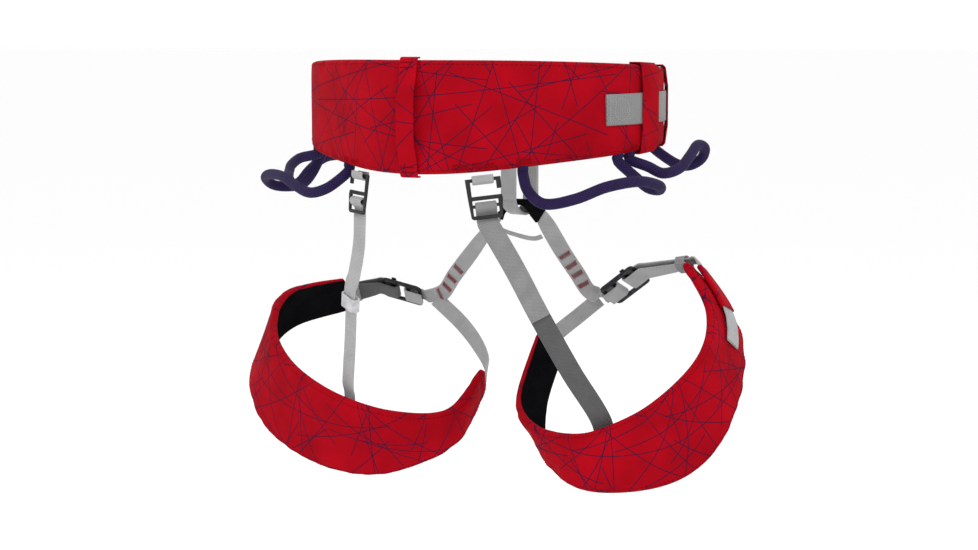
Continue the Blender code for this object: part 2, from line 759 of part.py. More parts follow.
# Buckle centre, direction towards the outer side of the thigh, direction away from the thigh.
LEG_BUCKLES = {
    "right": ((-76, -110, -134.5), (-0.8, 0.05, 0.6), (0.4, -0.62, 0.6)),
    "left": ((119, -112, -149.5), (0.95, 0.12, 0.22), (0.1, -0.66, 0.7)),
}
BRIDGES = {
    "right": [(-12, -97, -84, -0.3, -0.8, 0.5), (-19, -98, -95, -0.7, -0.5, 0.5),
              (-28, -101, -111, -0.85, -0.2, 0.5), (-38, -105, -127, -0.85, -0.1, 0.5),
              (-46, -110, -141, -0.8, 0.0, 0.6)],
    "left": [(24, -96, -84, 0.3, -0.8, 0.5), (36, -97, -97, 0.6, -0.5, 0.6),
             (51, -100, -114, 0.78, -0.1, 0.6), (68, -104, -133, 0.8, 0.0, 0.6),
             (81, -109, -148, 0.7, 0.0, 0.7)],
}
CROTCH = {
    "right": [(-46, -112, -153, 0.6, 0.3, 0.7), (-38, -105, -161, 0.6, 0.3, 0.7),
              (-31, -93, -169, 0.7, 0.4, 0.6)],
    "left": [(80, -109, -159, -0.5, -0.2, 0.6), (62, -104, -171, -0.5, -0.2, 0.6),
             (44, -94, -184, -0.5, 0.0, 0.6), (26, -76, -197, -0.4, 0.3, 0.7)],
}
TAIL_STATIONS = {"left": 8, "right": 11}
TUNNEL_STATIONS = 7
KEEPER_FROM = 1
KEEPER_TO = 4
TAIL_HIGH = 3.2
RIM_LIFT = 0.8
LEG_BUCKLE_SIZE = BuckleSizes(17.0, LEG_WEB_WIDE)


def make_bridge(side, frame):
    """V strap from the lower tie-in point down to the buckle, folded over its near bar."""
    sign = 1 if side == "left" else -1
    apex = Vector((*LOOP_CENTRE, APEX_Z))
    across = loop_across() * sign
    depth = loop_depth()
    rows = []
    for reach, drop in ((APEX_HALF_GAP, 0.0), (8.5, 0.4), (12.5, 2.5)):
        point = apex + across * reach - Vector((0, 0, drop))
        rows.append([*point, *depth, 11.0])
    rows += [[*row, BRIDGE_WIDE] for row in BRIDGES[side]]
    size = LEG_BUCKLE_SIZE
    fold_places = fixed_loop_places(size, 3.0)
    fold = local_stations(frame, fold_places, BRIDGE_WIDE)
    first = fold[0]
    hint = frame.across.copy()
    last_row = rows[-1]
    if hint.dot(Vector(last_row[3:6])) < 0:
        hint = -hint
        for station in fold:
            station.side = -station.side
    rows.append([*(first.point / MM), *hint, BRIDGE_WIDE])
    down = route(rows, 4.0)
    stations = aim(down[:-1] + fold)
    strap(f"bridge_{side}", stations, BRIDGE_THICK, "light_webbing")
    sleeve_on(f"bridge_{side}_protector", stations[:7], 1.2,
              BRIDGE_THICK + 0.9, 0.8, "black_lining")
    return stations


def link(start, stop):
    """Stations of a free stretch of strap between two places, turning evenly."""
    rows = []
    for part in (0.0, 1 / 3, 2 / 3, 1.0):
        point = start.point.lerp(stop.point, part) / MM
        rows.append([*point, *start.side.lerp(stop.side, part), LEG_WEB_WIDE])
    return route(rows, 4.0)


def on_pad(pad, height, width):
    return [Station(s.at(0, height), s.side.copy(), width) for s in pad]


def make_leg_webbing(side, frame, pad):
    """Adjusting strap: from inside the pad, round the buckle's block, back over the pad."""
    around = local_stations(frame, adjust_places(LEG_BUCKLE_SIZE), LEG_WEB_WIDE)
    if frame.across.dot(pad[-1].side) < 0:
        for station in around:
            station.side = -station.side
    hidden = on_pad(pad[-4:], -SLOT_MIDDLE, LEG_WEB_WIDE)
    reach = TAIL_STATIONS[side]
    outer = on_pad(pad[-reach:], TAIL_HIGH, LEG_WEB_WIDE)
    for station, drop in zip(outer[:reach - TUNNEL_STATIONS], (1.0, 0.7, 0.35, 0.1)):
        station.point -= pad[-reach].out * drop * MM
    outer[-1].point += pad[-1].out * RIM_LIFT * MM
    outer.reverse()
    inward = link(hidden[-1], around[0])
    outward = link(around[-1], outer[0])
    stations = hidden[:-1] + inward[:-1] + around + outward[1:-1] + outer
    strap(f"leg_{side}_webbing", aim(stations), LEG_WEB, "grey_webbing")
    covered = outer[1:TUNNEL_STATIONS]
    sleeve_on(f"leg_{side}_tunnel", covered, 1.8, LEG_WEB + 1.2, 0.7, "dark_red_fabric")
    pairs = list(zip(inward, reversed(outward)))[KEEPER_FROM:KEEPER_TO]
    between = []
    for low, high in pairs:
        between.append(Station(low.point.lerp(high.point, 0.5), low.side.copy(), LEG_WEB_WIDE))
    room = max((low.point - high.point).length for low, high in pairs) / MM
    sleeve_on(f"leg_{side}_keeper", aim(between), 1.8, room + LEG_WEB + 1.2, 0.9,
              "grey_webbing")


def make_crotch_strap(side, pad):
    inside = on_pad(pad[:3], -SLOT_MIDDLE, CROTCH_WIDE)
    rows = [[*row, CROTCH_WIDE] for row in CROTCH[side]]
    rows.append([*(inside[0].point / MM), *inside[0].side, CROTCH_WIDE])
    free = route(rows, 4.0)
    strap(f"crotch_strap_{side}", aim(free[:-1] + inside), LEG_WEB, "light_webbing")


def make_leg(side):
    pad = leg_stations(side)
    make_leg_pad(side, pad)
    centre, along, out = LEG_BUCKLES[side]
    frame = Frame(mm(*centre), Vector(along), Vector(out))
    make_buckle(f"leg_{side}_buckle", frame, LEG_BUCKLE_SIZE, "buckle_metal")
    make_bridge(side, frame)
    make_leg_webbing(side, frame, pad)
    make_crotch_strap(side, pad)


def clear_scene():
    for thing in list(bpy.data.objects):
        bpy.data.objects.remove(thing, do_unlink=True)


def build():
    clear_scene()
    make_belt_pad()
    make_waist_webbing()
    make_belt_keepers()
    make_haul_loop()
    make_tie_in_loop()
    make_belay_loop()
    make_cross_strap()
    make_gear_loops()
    for side in ("left", "right"):
        make_riser(side)
        make_leg(side)


build()
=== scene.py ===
"""Looks of a climbing harness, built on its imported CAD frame. Metres, +Z up, wearer faces -Y."""

import json
from math import ceil, cos, exp, pi, radians, sin

import bmesh
import bpy
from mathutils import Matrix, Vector, noise
from mathutils.bvhtree import BVHTree

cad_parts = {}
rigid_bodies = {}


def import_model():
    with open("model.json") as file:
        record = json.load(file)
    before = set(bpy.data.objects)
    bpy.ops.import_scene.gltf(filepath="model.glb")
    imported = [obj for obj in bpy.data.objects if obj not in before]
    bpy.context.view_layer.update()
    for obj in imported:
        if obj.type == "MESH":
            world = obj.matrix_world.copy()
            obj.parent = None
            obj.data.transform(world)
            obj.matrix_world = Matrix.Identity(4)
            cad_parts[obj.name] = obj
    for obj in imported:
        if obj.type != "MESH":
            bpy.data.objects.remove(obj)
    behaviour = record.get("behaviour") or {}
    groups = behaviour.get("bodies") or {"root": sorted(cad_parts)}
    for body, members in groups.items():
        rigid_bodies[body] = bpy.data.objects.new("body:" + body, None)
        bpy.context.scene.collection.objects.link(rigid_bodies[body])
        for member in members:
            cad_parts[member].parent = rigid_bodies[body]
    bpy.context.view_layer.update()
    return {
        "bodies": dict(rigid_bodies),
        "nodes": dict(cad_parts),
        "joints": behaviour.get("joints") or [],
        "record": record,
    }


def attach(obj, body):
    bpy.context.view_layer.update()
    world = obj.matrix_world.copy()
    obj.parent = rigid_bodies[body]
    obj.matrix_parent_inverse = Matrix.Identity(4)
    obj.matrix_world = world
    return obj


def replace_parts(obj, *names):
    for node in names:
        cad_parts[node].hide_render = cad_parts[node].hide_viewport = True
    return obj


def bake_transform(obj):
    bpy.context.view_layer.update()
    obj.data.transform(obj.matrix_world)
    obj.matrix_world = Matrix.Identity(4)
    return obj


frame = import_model()
BODY_OF = {node: body for body, nodes in frame["record"]["behaviour"]["bodies"].items()
           for node in nodes}

MM = 0.001
GAP = 0.3
UP = Vector((0, 0, 1))
SIGN = {"left": 1, "right": -1}
CAMERA_ANGLES = (206, 6)
CAMERA_TARGET = (-0.0107, -0.005, -0.12)
CAMERA_DISTANCE = 1.71

# ---- waist belt ----
PAD_END = 148
BELT_STEP = 4
SHELL = 1.0
BELT_THICK = 9.0
WEB = 1.6
WAIST_WEB_WIDE = 22.0
WEB_INSET = SHELL + GAP + WEB / 2
TAIL_INSET = -(GAP + WEB / 2)
TAIL_END = 76
WEB_SPLICE = 96
KEEPERS = {"belt_keeper_rear": (89.0, 97.0), "belt_keeper_front": (107.5, 114.5)}
KEEPER_WALL = 1.0
HAUL_CENTRE = 0.0
HAUL_WIDE = 14.0
HAUL_THICK = 1.2

# ---- tie-in points and belay loop ----
TIE_X = 6.0
TIE_Z = 6.0
TIE_HIGH = 18.0
TIE_THICK = 3.0
LOOP_CENTRE = (6.0, -93.5)
LOOP_TURN = 20.0
LOOP_GAUGE = 24.0
LOOP_TOP = 22.5
LOOP_BOTTOM = -82.0
LOOP_WIDE = 16.0
LOOP_THICK = 3.0
APEX_Z = -72.0
APEX_HALF_GAP = 0.8

# ---- gear loops ----
CORD_RADIUS = 3.9
CORD_SIDES = 20
CORD_IN_HEM = 4.5
CORD_CAP = ((0.6, 0.78), (0.92, 0.35))
STRAND = 2.3

# ---- risers ----
RISER_WIDE = 15.0
RISER_THICK = 1.4
TAB_THICK = 1.2
HOOK_BAR_DROP = 5.2
HOOK_THICK = 2.6
HOOK_HALF = 12.5

# ---- leg loops ----
LEG_THICK = 8.6
LEG_WEB_WIDE = 14.0
LEG_WEB = 1.4
SLOT_MIDDLE = SHELL + 1.0 + LEG_WEB / 2
CROTCH_WIDE = 12.0
CROTCH_LEAD = (2.4, 1.2)
BRIDGE_WIDE = 13.0
BRIDGE_THICK = 1.5


def mm(x, y, z):
    return Vector((x, y, z)) * MM


def assign(thing, **values):
    for key, value in values.items():
        setattr(thing, key, value)


class Frame:
    """A local frame: along, across and out, with its origin in metres."""

    def __init__(self, origin, along, out):
        self.origin = origin
        self.along = along.normalized()
        self.out = (out - self.along * out.dot(self.along)).normalized()
        self.across = self.out.cross(self.along)

    def at(self, u, v, n):
        return self.origin + (self.along * u + self.across * v + self.out * n) * MM


def spline(values, steps, closed=False):
    """Catmull-Rom through rows of numbers, with steps points to each span."""
    count = len(values)
    spans = count if closed else count - 1
    rows = []
    for span in range(spans):
        if closed:
            quad = [values[(span + k - 1) % count] for k in range(4)]
        else:
            quad = [values[min(max(span + k - 1, 0), count - 1)] for k in range(4)]
        for step in range(steps):
            t = step / steps
            rows.append([
                0.5 * (2 * b + (c - a) * t + (2 * a - 5 * b + 4 * c - d) * t * t
                       + (3 * b - a - 3 * c + d) * t ** 3)
                for a, b, c, d in zip(*quad)
            ])
    if not closed:
        rows.append(list(values[-1]))
    return rows


def lengths_along(points):
    """Distance in mm from the start of a polyline to each of its points."""
    lengths = [0.0]
    for a, b in zip(points, points[1:]):
        lengths.append(lengths[-1] + (b - a).length / MM)
    return lengths


def even(points, spacing):
    """Every place on a polyline at an even spacing in mm, as (index, fraction)."""
    lengths = [0.0]
    for a, b in zip(points, points[1:]):
        lengths.append(lengths[-1] + (b - a).length)
    count = max(2, round(lengths[-1] / (spacing * MM)))
    places = []
    at = 0
    for i in range(count + 1):
        goal = lengths[-1] * i / count
        while at < len(lengths) - 2 and lengths[at + 1] < goal:
            at += 1
        places.append((at, (goal - lengths[at]) / max(1e-9, lengths[at + 1] - lengths[at])))
    return places


class Station:
    """One place on a strap: its centre, width direction, outward direction and width."""

    def __init__(self, point, side, width):
        self.point = point
        self.side = side
        self.width = width
        self.out = None

    def at(self, across, out):
        return self.point + (self.side * across + self.out * out) * MM


def aim(stations, closed=False):
    """Square each station's width direction to the route and find its outward direction."""
    count = len(stations)
    for i, station in enumerate(stations):
        if closed:
            run = stations[(i + 1) % count].point - stations[i - 1].point
        else:
            run = stations[min(i + 1, count - 1)].point - stations[max(i - 1, 0)].point
        run.normalize()
        side = station.side - run * station.side.dot(run)
        station.side = side.normalized()
        station.out = run.cross(station.side)
    return stations


def route(rows, spacing=4.0, steps=8):
    """Stations along a smooth route. Each row is x, y, z, then the width's x, y, z, width."""
    dense = spline(rows, steps)
    points = [mm(*row[:3]) for row in dense]
    stations = []
    for at, part in even(points, spacing):
        row = [a + (b - a) * part for a, b in zip(dense[at], dense[at + 1])]
        stations.append(Station(mm(*row[:3]), Vector(row[3:6]), row[6]))
    return aim(stations)


def turn(centre_u, centre_n, radius, start, stop, count):
    """Points (u, n) on an arc, angles in degrees from the +u direction."""
    places = []
    for i in range(count + 1):
        angle = radians(start + (stop - start) * i / count)
        places.append((centre_u + radius * cos(angle), centre_n + radius * sin(angle)))
    return places


def local_stations(frame, places, width):
    """Stations from (u, n) places in a frame, with the width along the frame's across."""
    return [Station(frame.at(u, 0, n), frame.across.copy(), width) for u, n in places]


# ---- belt geometry ----
def belt_radius(angle):
    a = radians(angle)
    return 109 + 2 * cos(a) - 25 * cos(2 * a) + 14 * cos(3 * a)


def belt_plan(angle):
    a = radians(angle)
    return Vector((-belt_radius(angle) * sin(a), belt_radius(angle) * cos(a), 0))


def belt_out(angle):
    run = belt_plan(angle + 0.5) - belt_plan(angle - 0.5)
    return Vector((-run.y, run.x, 0)).normalized() * -1


def belt_top(angle):
    a = radians(angle)
    return 35 + 6.5 * cos(a) - 1.5 * cos(2 * a)


def belt_bottom(angle):
    a = radians(angle)
    return -27 - 12.5 * cos(a) - cos(2 * a)


def belt_middle(angle):
    return (belt_top(angle) + belt_bottom(angle)) / 2


def belt_half(angle):
    """Half the pad's height, drawn in to round its front corners."""
    past = max(0.0, abs(angle) - (PAD_END - 9)) / 9
    return (belt_top(angle) - belt_bottom(angle)) / 2 - 7 * past ** 2.5


def belt_point(angle, inset, height):
    """A point at a depth inset from the outer face and a height above the origin."""
    place = belt_plan(angle) - belt_out(angle) * inset
    return mm(place.x, place.y, height)


def belt_station(angle, inset, width):
    return Station(belt_point(angle, inset, belt_middle(angle)), UP, width)


def belt_angles(start, stop, step=BELT_STEP):
    """Angles from start to stop; pieces of the pad share one step, so they nest."""
    count = max(1, ceil(abs(stop - start) / step))
    return [start + (stop - start) * i / count for i in range(count + 1)]


# ---- node materials ----
class Nodes:
    """Small helper that wires a material's nodes."""

    def __init__(self, name, roughness, specular=0.5, metallic=0.0, sheen=0.0):
        self.material = bpy.data.materials.new(name)
        self.material.use_nodes = True
        self.tree = self.material.node_tree
        self.shader = self.tree.nodes["Principled BSDF"]
        self.fill(self.shader, {"Roughness": roughness, "Metallic": metallic,
                                "Specular IOR Level": specular, "Sheen Weight": sheen,
                                "Sheen Roughness": 0.5})

    def fill(self, node, inputs):
        """Set a node's inputs to numbers, or join them to other nodes' outputs."""
        for key, value in inputs.items():
            if isinstance(value, (int, float, tuple)):
                node.inputs[key].default_value = value
            else:
                self.tree.links.new(value, node.inputs[key])

    def add(self, kind, inputs, **settings):
        node = self.tree.nodes.new("ShaderNode" + kind)
        assign(node, **settings)
        self.fill(node, inputs)
        return node

    def math(self, operation, a, b=0.0, c=0.0):
        return self.add("Math", {0: a, 1: b, 2: c}, operation=operation).outputs[0]

    def uv(self):
        """The place on the cloth, and its two parts."""
        place = self.add("UVMap", {}, uv_map="Place").outputs[0]
        split = self.add("SeparateXYZ", {0: place})
        return place, split.outputs[0], split.outputs[1]

    def noise(self, scale, detail=3.0, vector=None):
        vector = vector or self.add("TexCoord", {}).outputs["Object"]
        inputs = {"Scale": scale, "Detail": detail, "Vector": vector}
        return self.add("TexNoise", inputs).outputs[0]

    def ramp(self, value, low, high, out_low=0.0, out_high=1.0):
        return self.add("MapRange", {"Value": value, "From Min": low, "From Max": high,
                                     "To Min": out_low, "To Max": out_high}).outputs[0]

    def mix(self, factor, a, b):
        a, b = [(*c, 1.0) if isinstance(c, tuple) else c for c in (a, b)]
        return self.add("Mix", {0: factor, 6: a, 7: b}, data_type="RGBA").outputs[2]

    def finish(self, colour, height, strength, distance, rough=None):
        bump = self.add("Bump", {"Strength": strength, "Distance": distance, "Height": height})
        self.fill(self.shader, {"Base Color": colour, "Normal": bump.outputs[0]})
        if rough is not None:
            self.fill(self.shader, {"Roughness": rough})
        return self.material


def shade(colour, factor, lift=0.0):
    return tuple(min(1.0, c * factor + lift) for c in colour)


def wave(n, value, period):
    return n.math("SINE", n.math("MULTIPLY", value, 2 * pi / period))


def webbing(name, colour, column=2.2, rib=1.15, contrast=0.45):
    """Flat woven webbing: columns of slanted ribs, like rows of herringbone."""
    n = Nodes(name, 0.78, 0.3, sheen=0.1)
    _, u, v = n.uv()
    slant = n.math("PINGPONG", v, column / 2)
    ribs = wave(n, n.math("ADD", u, n.math("MULTIPLY", slant, 0.75)), rib)
    groove = n.math("ABSOLUTE", wave(n, v, column))
    high = n.math("MULTIPLY", n.ramp(ribs, -1, 1), n.ramp(groove, 0.0, 0.6, 0.35, 1.0))
    wear = n.ramp(n.noise(90), 0.3, 0.7, -0.12, 0.12)
    fuzz = n.ramp(n.noise(1800, 2.0), 0.3, 0.7, -0.12, 0.12)
    tone = n.math("ADD", high, n.math("ADD", wear, fuzz))
    mixed = n.mix(tone, shade(colour, 1 - contrast), shade(colour, 1 + contrast * 0.35))
    return n.finish(mixed, high, 0.6, 0.0005)


# The print's line families: direction in degrees, spacing in mm, offset.
PRINT = [(12, 41, 0.13), (-23, 53, 0.41), (38, 43, 0.77), (-48, 37, 0.29), (71, 57, 0.55),
         (-74, 49, 0.91), (4, 61, 0.63), (56, 59, 0.05), (-62, 67, 0.35), (84, 71, 0.19),
         (-8, 47, 0.87), (27, 64, 0.33)]
LINE_EDGE = (0.24, 0.42)
LINE_GAPS = 0.4
LINE_COLOUR = (0.028, 0.006, 0.03)


def red_fabric(name, red=(0.40, 0.0015, 0.009)):
    """Tight plain weave in red, printed with thin straight dark lines that cross anyhow."""
    n = Nodes(name, 0.78, 0.04)
    place, u, v = n.uv()
    total = 0.0
    for i, (turned, gap, phase) in enumerate(PRINT):
        a = radians(turned)
        across = (-sin(a) / gap, cos(a) / gap, 0)
        dot = n.add("VectorMath", {0: place, 1: across}, operation="DOT_PRODUCT")
        away = n.math("FRACT", n.math("ADD", dot.outputs["Value"], phase))
        away = n.math("ABSOLUTE", n.math("SUBTRACT", away, 0.5))
        line = n.ramp(n.math("MULTIPLY", away, float(gap)), *LINE_EDGE, 1.0, 0.0)
        shift = n.add("VectorMath", {0: place, 1: (i * 211.0, i * 97.0, 0)}, operation="ADD")
        shown = n.math("GREATER_THAN", n.noise(0.017, 0.0, shift.outputs[0]), LINE_GAPS)
        total = n.math("MAXIMUM", total, n.math("MULTIPLY", line, shown))
    weave = n.math("MULTIPLY", wave(n, u, 0.9), wave(n, v, 0.9))
    cloud = n.ramp(n.noise(35), 0.3, 0.7)
    base = n.mix(cloud, shade(red, 0.72), red)
    colour = n.mix(n.math("MULTIPLY", total, 0.9), base, LINE_COLOUR)
    height = n.math("ADD", weave, n.math("MULTIPLY", n.noise(260, 4.0), 0.8))
    return n.finish(colour, height, 0.22, 0.0003)


def mesh_lining(name):
    n = Nodes(name, 0.95, 0.0)
    _, u, v = n.uv()
    cell = n.math("MULTIPLY", wave(n, u, 1.9), wave(n, v, 1.9))
    tone = n.math("ADD", n.ramp(cell, -1, 1), n.ramp(n.noise(60), 0.3, 0.7, -0.2, 0.2))
    mixed = n.mix(tone, (0.0015, 0.0015, 0.002), (0.010, 0.0095, 0.0105))
    return n.finish(mixed, cell, 0.5, 0.0005)


def braid(name, colour):
    """Tubular sleeve of slanted strands over a stiff core."""
    n = Nodes(name, 0.66, 0.1)
    _, u, v = n.uv()
    one, two = (wave(n, n.math(way, u, v), STRAND) for way in ("ADD", "SUBTRACT"))
    high = n.math("MAXIMUM", one, two)
    tone = n.math("ADD", n.ramp(high, -0.6, 1), n.ramp(n.noise(120), 0.3, 0.7, -0.2, 0.2))
    return n.finish(n.mix(tone, shade(colour, 0.4), shade(colour, 1.25)), high, 0.6, 0.0006)


def moulded(name, colour, roughness):
    n = Nodes(name, roughness, 0.22)
    worn = n.ramp(n.noise(160, 5.0), 0.35, 0.75)
    rough = n.ramp(n.noise(90, 4.0), 0.3, 0.7, roughness - 0.1, roughness + 0.12)
    mixed = n.mix(worn, colour, shade(colour, 1.7, 0.008))
    return n.finish(mixed, n.noise(1500, 2.0), 0.12, 0.0002, rough)


def anodised(name, colour):
    n = Nodes(name, 0.35, metallic=1.0)
    marks = n.ramp(n.noise(240, 6.0), 0.45, 0.7)
    rough = n.ramp(n.noise(110, 4.0), 0.3, 0.7, 0.26, 0.5)
    mixed = n.mix(marks, colour, shade(colour, 2.0, 0.01))
    return n.finish(mixed, n.noise(900, 3.0), 0.08, 0.0002, rough)


def thread(name, colour):
    n = Nodes(name, 0.7, 0.08)
    twist = n.noise(3000, 2.0)
    return n.finish(n.mix(twist, shade(colour, 0.5), colour), twist, 0.3, 0.0002)


LOOKS = {
    "red_fabric": red_fabric("red_print_fabric"),
    "dark_red_fabric": red_fabric("deep_red_print_fabric", (0.29, 0.001, 0.007)),
    "black_lining": mesh_lining("black_mesh_lining"),
    "light_webbing": webbing("light_grey_webbing", (0.47, 0.47, 0.475)),
    "pale_webbing": webbing("pale_tail_webbing", (0.27, 0.27, 0.268), 3.0, 1.5, 0.35),
    "grey_webbing": webbing("mid_grey_webbing", (0.30, 0.303, 0.305)),
    "dark_webbing": webbing("dark_grey_webbing", (0.115, 0.115, 0.117)),
    "purple_cord": braid("purple_braid", (0.022, 0.0125, 0.062)),
    "black_plastic": moulded("black_moulding", (0.012, 0.012, 0.013), 0.42),
    "grey_plastic": moulded("grey_moulding", (0.38, 0.38, 0.39), 0.45),
    "buckle_metal": anodised("dark_anodised_metal", (0.024, 0.0245, 0.027)),
    "red_thread": thread("red_thread", (0.55, 0.006, 0.012)),
    "deep_thread": thread("deep_red_thread", (0.17, 0.002, 0.006)),
    "grey_thread": thread("pale_grey_thread", (0.55, 0.55, 0.55)),
}


# ---- making pieces ----
def link_object(name, data):
    thing = bpy.data.objects.new(name, data)
    bpy.context.scene.collection.objects.link(thing)
    return thing


def piece(name, mesh, look_name, node, second=None):
    """An object for its node, on its node's body unless the node is in BLENDS."""
    mesh.shade_smooth()
    mesh.set_sharp_from_angle(angle=radians(50))
    for look in filter(None, (look_name, second)):
        mesh.materials.append(LOOKS[look])
    thing = link_object(name, mesh)
    if node not in BLENDS:
        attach(thing, BODY_OF[node])
    return thing


def outward_mesh(name, bm):
    """The bmesh as a mesh, its faces turned outward."""
    bmesh.ops.recalc_face_normals(bm, faces=bm.faces)
    mesh = bpy.data.meshes.new(name)
    bm.to_mesh(mesh)
    bm.free()
    return mesh


def skin(bm, rings):
    """Faces through rings of points and over both ends."""
    rows = [[bm.verts.new(point) for point in ring] for ring in rings]
    count = len(rows[0])
    for first, second in zip(rows, rows[1:]):
        for i in range(count):
            j = (i + 1) % count
            bm.faces.new((first[i], first[j], second[j], second[i]))
    bm.faces.new(rows[0])
    bm.faces.new(rows[-1])


def weave_mesh(name, rings, us, vs, closed=False, capped=True, us_end=None):
    """A mesh through rings of points, with each point's place on the cloth, in mm, as UV."""
    bm = bmesh.new()
    layer = bm.loops.layers.uv.new("Place")
    rows = [[bm.verts.new(point) for point in ring] for ring in rings]
    count = len(rings[0])
    spans = [(i, i + 1) for i in range(len(rows) - 1)]
    if closed:
        spans.append((len(rows) - 1, 0))
    for a, b in spans:
        ub = us[b] if b else us_end
        for i in range(count):
            j = (i + 1) % count
            face = bm.faces.new((rows[a][i], rows[a][j], rows[b][j], rows[b][i]))
            vj = vs[a][j] if j else vs[a][-1] + (vs[a][-1] - vs[a][-2])
            if abs(vs[a][0]) > 0 and abs(vj - vs[a][0]) < SEAM_JUMP:
                vj = vs[a][j]
            corners = ((us[a], vs[a][i]), (us[a], vj), (ub, vj), (ub, vs[a][i]))
            for loop, place in zip(face.loops, corners):
                loop[layer].uv = place
    if capped and not closed:
        for row, u in ((rows[0], us[0]), (rows[-1], us[-1])):
            face = bm.faces.new(row)
            for loop, v in zip(face.loops, vs[0]):
                loop[layer].uv = (u, v)
    return outward_mesh(name, bm)


SEAM_JUMP = 30
BLENDS = {"riser_left_upper_strap", "riser_left_lower_strap", "riser_right_upper_strap",
          "riser_right_lower_strap", "bridge_cross_strap"}


def finer(stations, steps, closed=False):
    """The same route with more stations, its outward side kept."""
    rows = [[*s.point, *s.side, s.width] for s in stations]
    fine = [Station(Vector(row[:3]), Vector(row[3:6]), row[6])
            for row in spline(rows, steps, closed)]
    aim(fine, closed)
    for i, station in enumerate(fine):
        near = stations[min(i // steps, len(stations) - 1)]
        if near.out is not None and station.out.dot(near.out) < 0:
            station.out = -station.out
    return fine


def run_lengths(stations):
    return lengths_along([s.point for s in stations])


def strap_section(half, thickness):
    """(across, out) round a flat strap with rounded edges."""
    r = thickness / 2
    flat = half - r
    places = []
    for sign in (1, -1):
        places += [((-flat + 2 * flat * i / 6) * sign, r * sign) for i in range(7)]
        places += [((flat + r * sin(a)) * sign, r * cos(a) * sign)
                   for a in (0.8, 1.57, 2.34)]
    return places


STRAPS = {}


def strap(name, stations, thickness, look_name, shift=0.0, closed=False):
    fine = finer(stations, 3, closed)
    STRAPS[name] = fine
    sections = [strap_section(s.width / 2, thickness) for s in fine]
    rings = [[s.at(v, n + shift) for v, n in section] for s, section in zip(fine, sections)]
    vs = [[v for v, _ in section] for section in sections]
    us = run_lengths(fine)
    end = us[-1] + (fine[0].point - fine[-1].point).length / MM
    mesh = weave_mesh("fine_" + name, rings, us, vs, closed, us_end=end)
    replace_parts(piece("fine_" + name, mesh, look_name, name), name)


def hollow(thing, wall):
    assign(thing.modifiers.new("wall", "SOLIDIFY"), thickness=wall * MM, offset=-1)


def sleeve_on(name, stations, spare, room_thick, wall, look_name, shift=0.0):
    """A sleeve round a strap, with spare room across it and room_thick through it."""
    fine = finer(stations, 4)
    rings = []
    for s in fine:
        outer = strap_section((s.width + spare) / 2 + wall, room_thick + 2 * wall)
        rings.append([s.at(v, n + shift) for v, n in outer])
    vs = [[v for v, _ in outer]] * len(fine)
    mesh = weave_mesh("fine_" + name, rings, run_lengths(fine), vs, capped=False)
    thing = piece("fine_" + name, mesh, look_name, name)
    hollow(thing, wall)
    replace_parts(thing, name)


def sleeve(name, rings, look_name):
    """The belt's keeper, as a softened hollow band."""
    us = lengths_along([ring[0] for ring in rings])
    vs = lengths_along(rings[0])
    mesh = weave_mesh("fine_" + name, rings, us, [vs] * len(rings), capped=False)
    thing = piece("fine_" + name, mesh, look_name, name)
    hollow(thing, KEEPER_WALL)
    assign(thing.modifiers.new("soft", "BEVEL"), width=0.7 * MM, segments=2)
    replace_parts(thing, name)


def plate(name, outline, holes, thickness, frame_, look_name):
    bm = bmesh.new()
    edges = []
    for loop in [outline, *holes]:
        row = [bm.verts.new(frame_.at(u, v, -thickness / 2)) for u, v in loop]
        edges += [bm.edges.new((row[i], row[i - 1])) for i in range(len(row))]
    bmesh.ops.triangle_fill(bm, edges=edges, use_beauty=True)
    made = bmesh.ops.extrude_face_region(bm, geom=bm.faces[:])
    moved = [item for item in made["geom"] if isinstance(item, bmesh.types.BMVert)]
    bmesh.ops.translate(bm, verts=moved, vec=frame_.out * thickness * MM)
    bmesh.ops.dissolve_limit(bm, angle_limit=0.01, verts=bm.verts, edges=bm.edges)
    solid_piece(name, bm, look_name, 0.55)


def solid_piece(name, bm, look_name, soften):
    thing = piece("fine_" + name, outward_mesh("fine_" + name, bm), look_name, name)
    assign(thing.modifiers.new("soft", "BEVEL"), width=soften * MM, segments=3,
           limit_method="ANGLE", angle_limit=radians(35))
    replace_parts(thing, name)


# ---- stitching ----
def carried(points, side):
    """Each point of a path with its run and two directions square to it, free of twist."""
    places = []
    for i, point in enumerate(points):
        run = points[min(i + 1, len(points) - 1)] - points[max(i - 1, 0)]
        run.normalize()
        side = (side - run * side.dot(run)).normalized()
        places.append((point, run, side, run.cross(side)))
    return places


def tube(bm, points, radius, sides=5):
    rings = []
    for point, _, side, other in carried(points, Vector((0.3, 0.5, 0.8)).normalized()):
        angles = [2 * pi * k / sides for k in range(sides)]
        rings.append([point + (side * cos(a) + other * sin(a)) * radius
                      for a in angles])
    skin(bm, rings)


def sewn(name, paths, radius, look_name, node):
    """Thread laid along paths of world points."""
    bm = bmesh.new()
    for path in paths:
        tube(bm, path, radius * MM)
    piece(name, outward_mesh(name, bm), look_name, node)


def tack_path(s, run, half_u, half_v, high, turns):
    """A bar tack's zigzag, run along the strap, on its outer face if high is positive."""
    path = []
    for i in range(turns * 2 + 1):
        u = 0 - half_u + 2 * half_u * i / (turns * 2)
        v = half_v if i % 2 else -half_v
        path.append(s.point + run * u * MM + (s.side * v + s.out * high) * MM)
    return path


def surface_of(name):
    graph = bpy.context.evaluated_depsgraph_get()
    return BVHTree.FromObject(bpy.data.objects[name], graph)


def settle(path, tree, lifts):
    """The path's points moved onto a cloth surface and lifted off it, in mm."""
    placed = []
    for point, lift in zip(path, lifts):
        spot, normal, _, _ = tree.find_nearest(point)
        placed.append(spot + normal * lift * MM)
    return placed


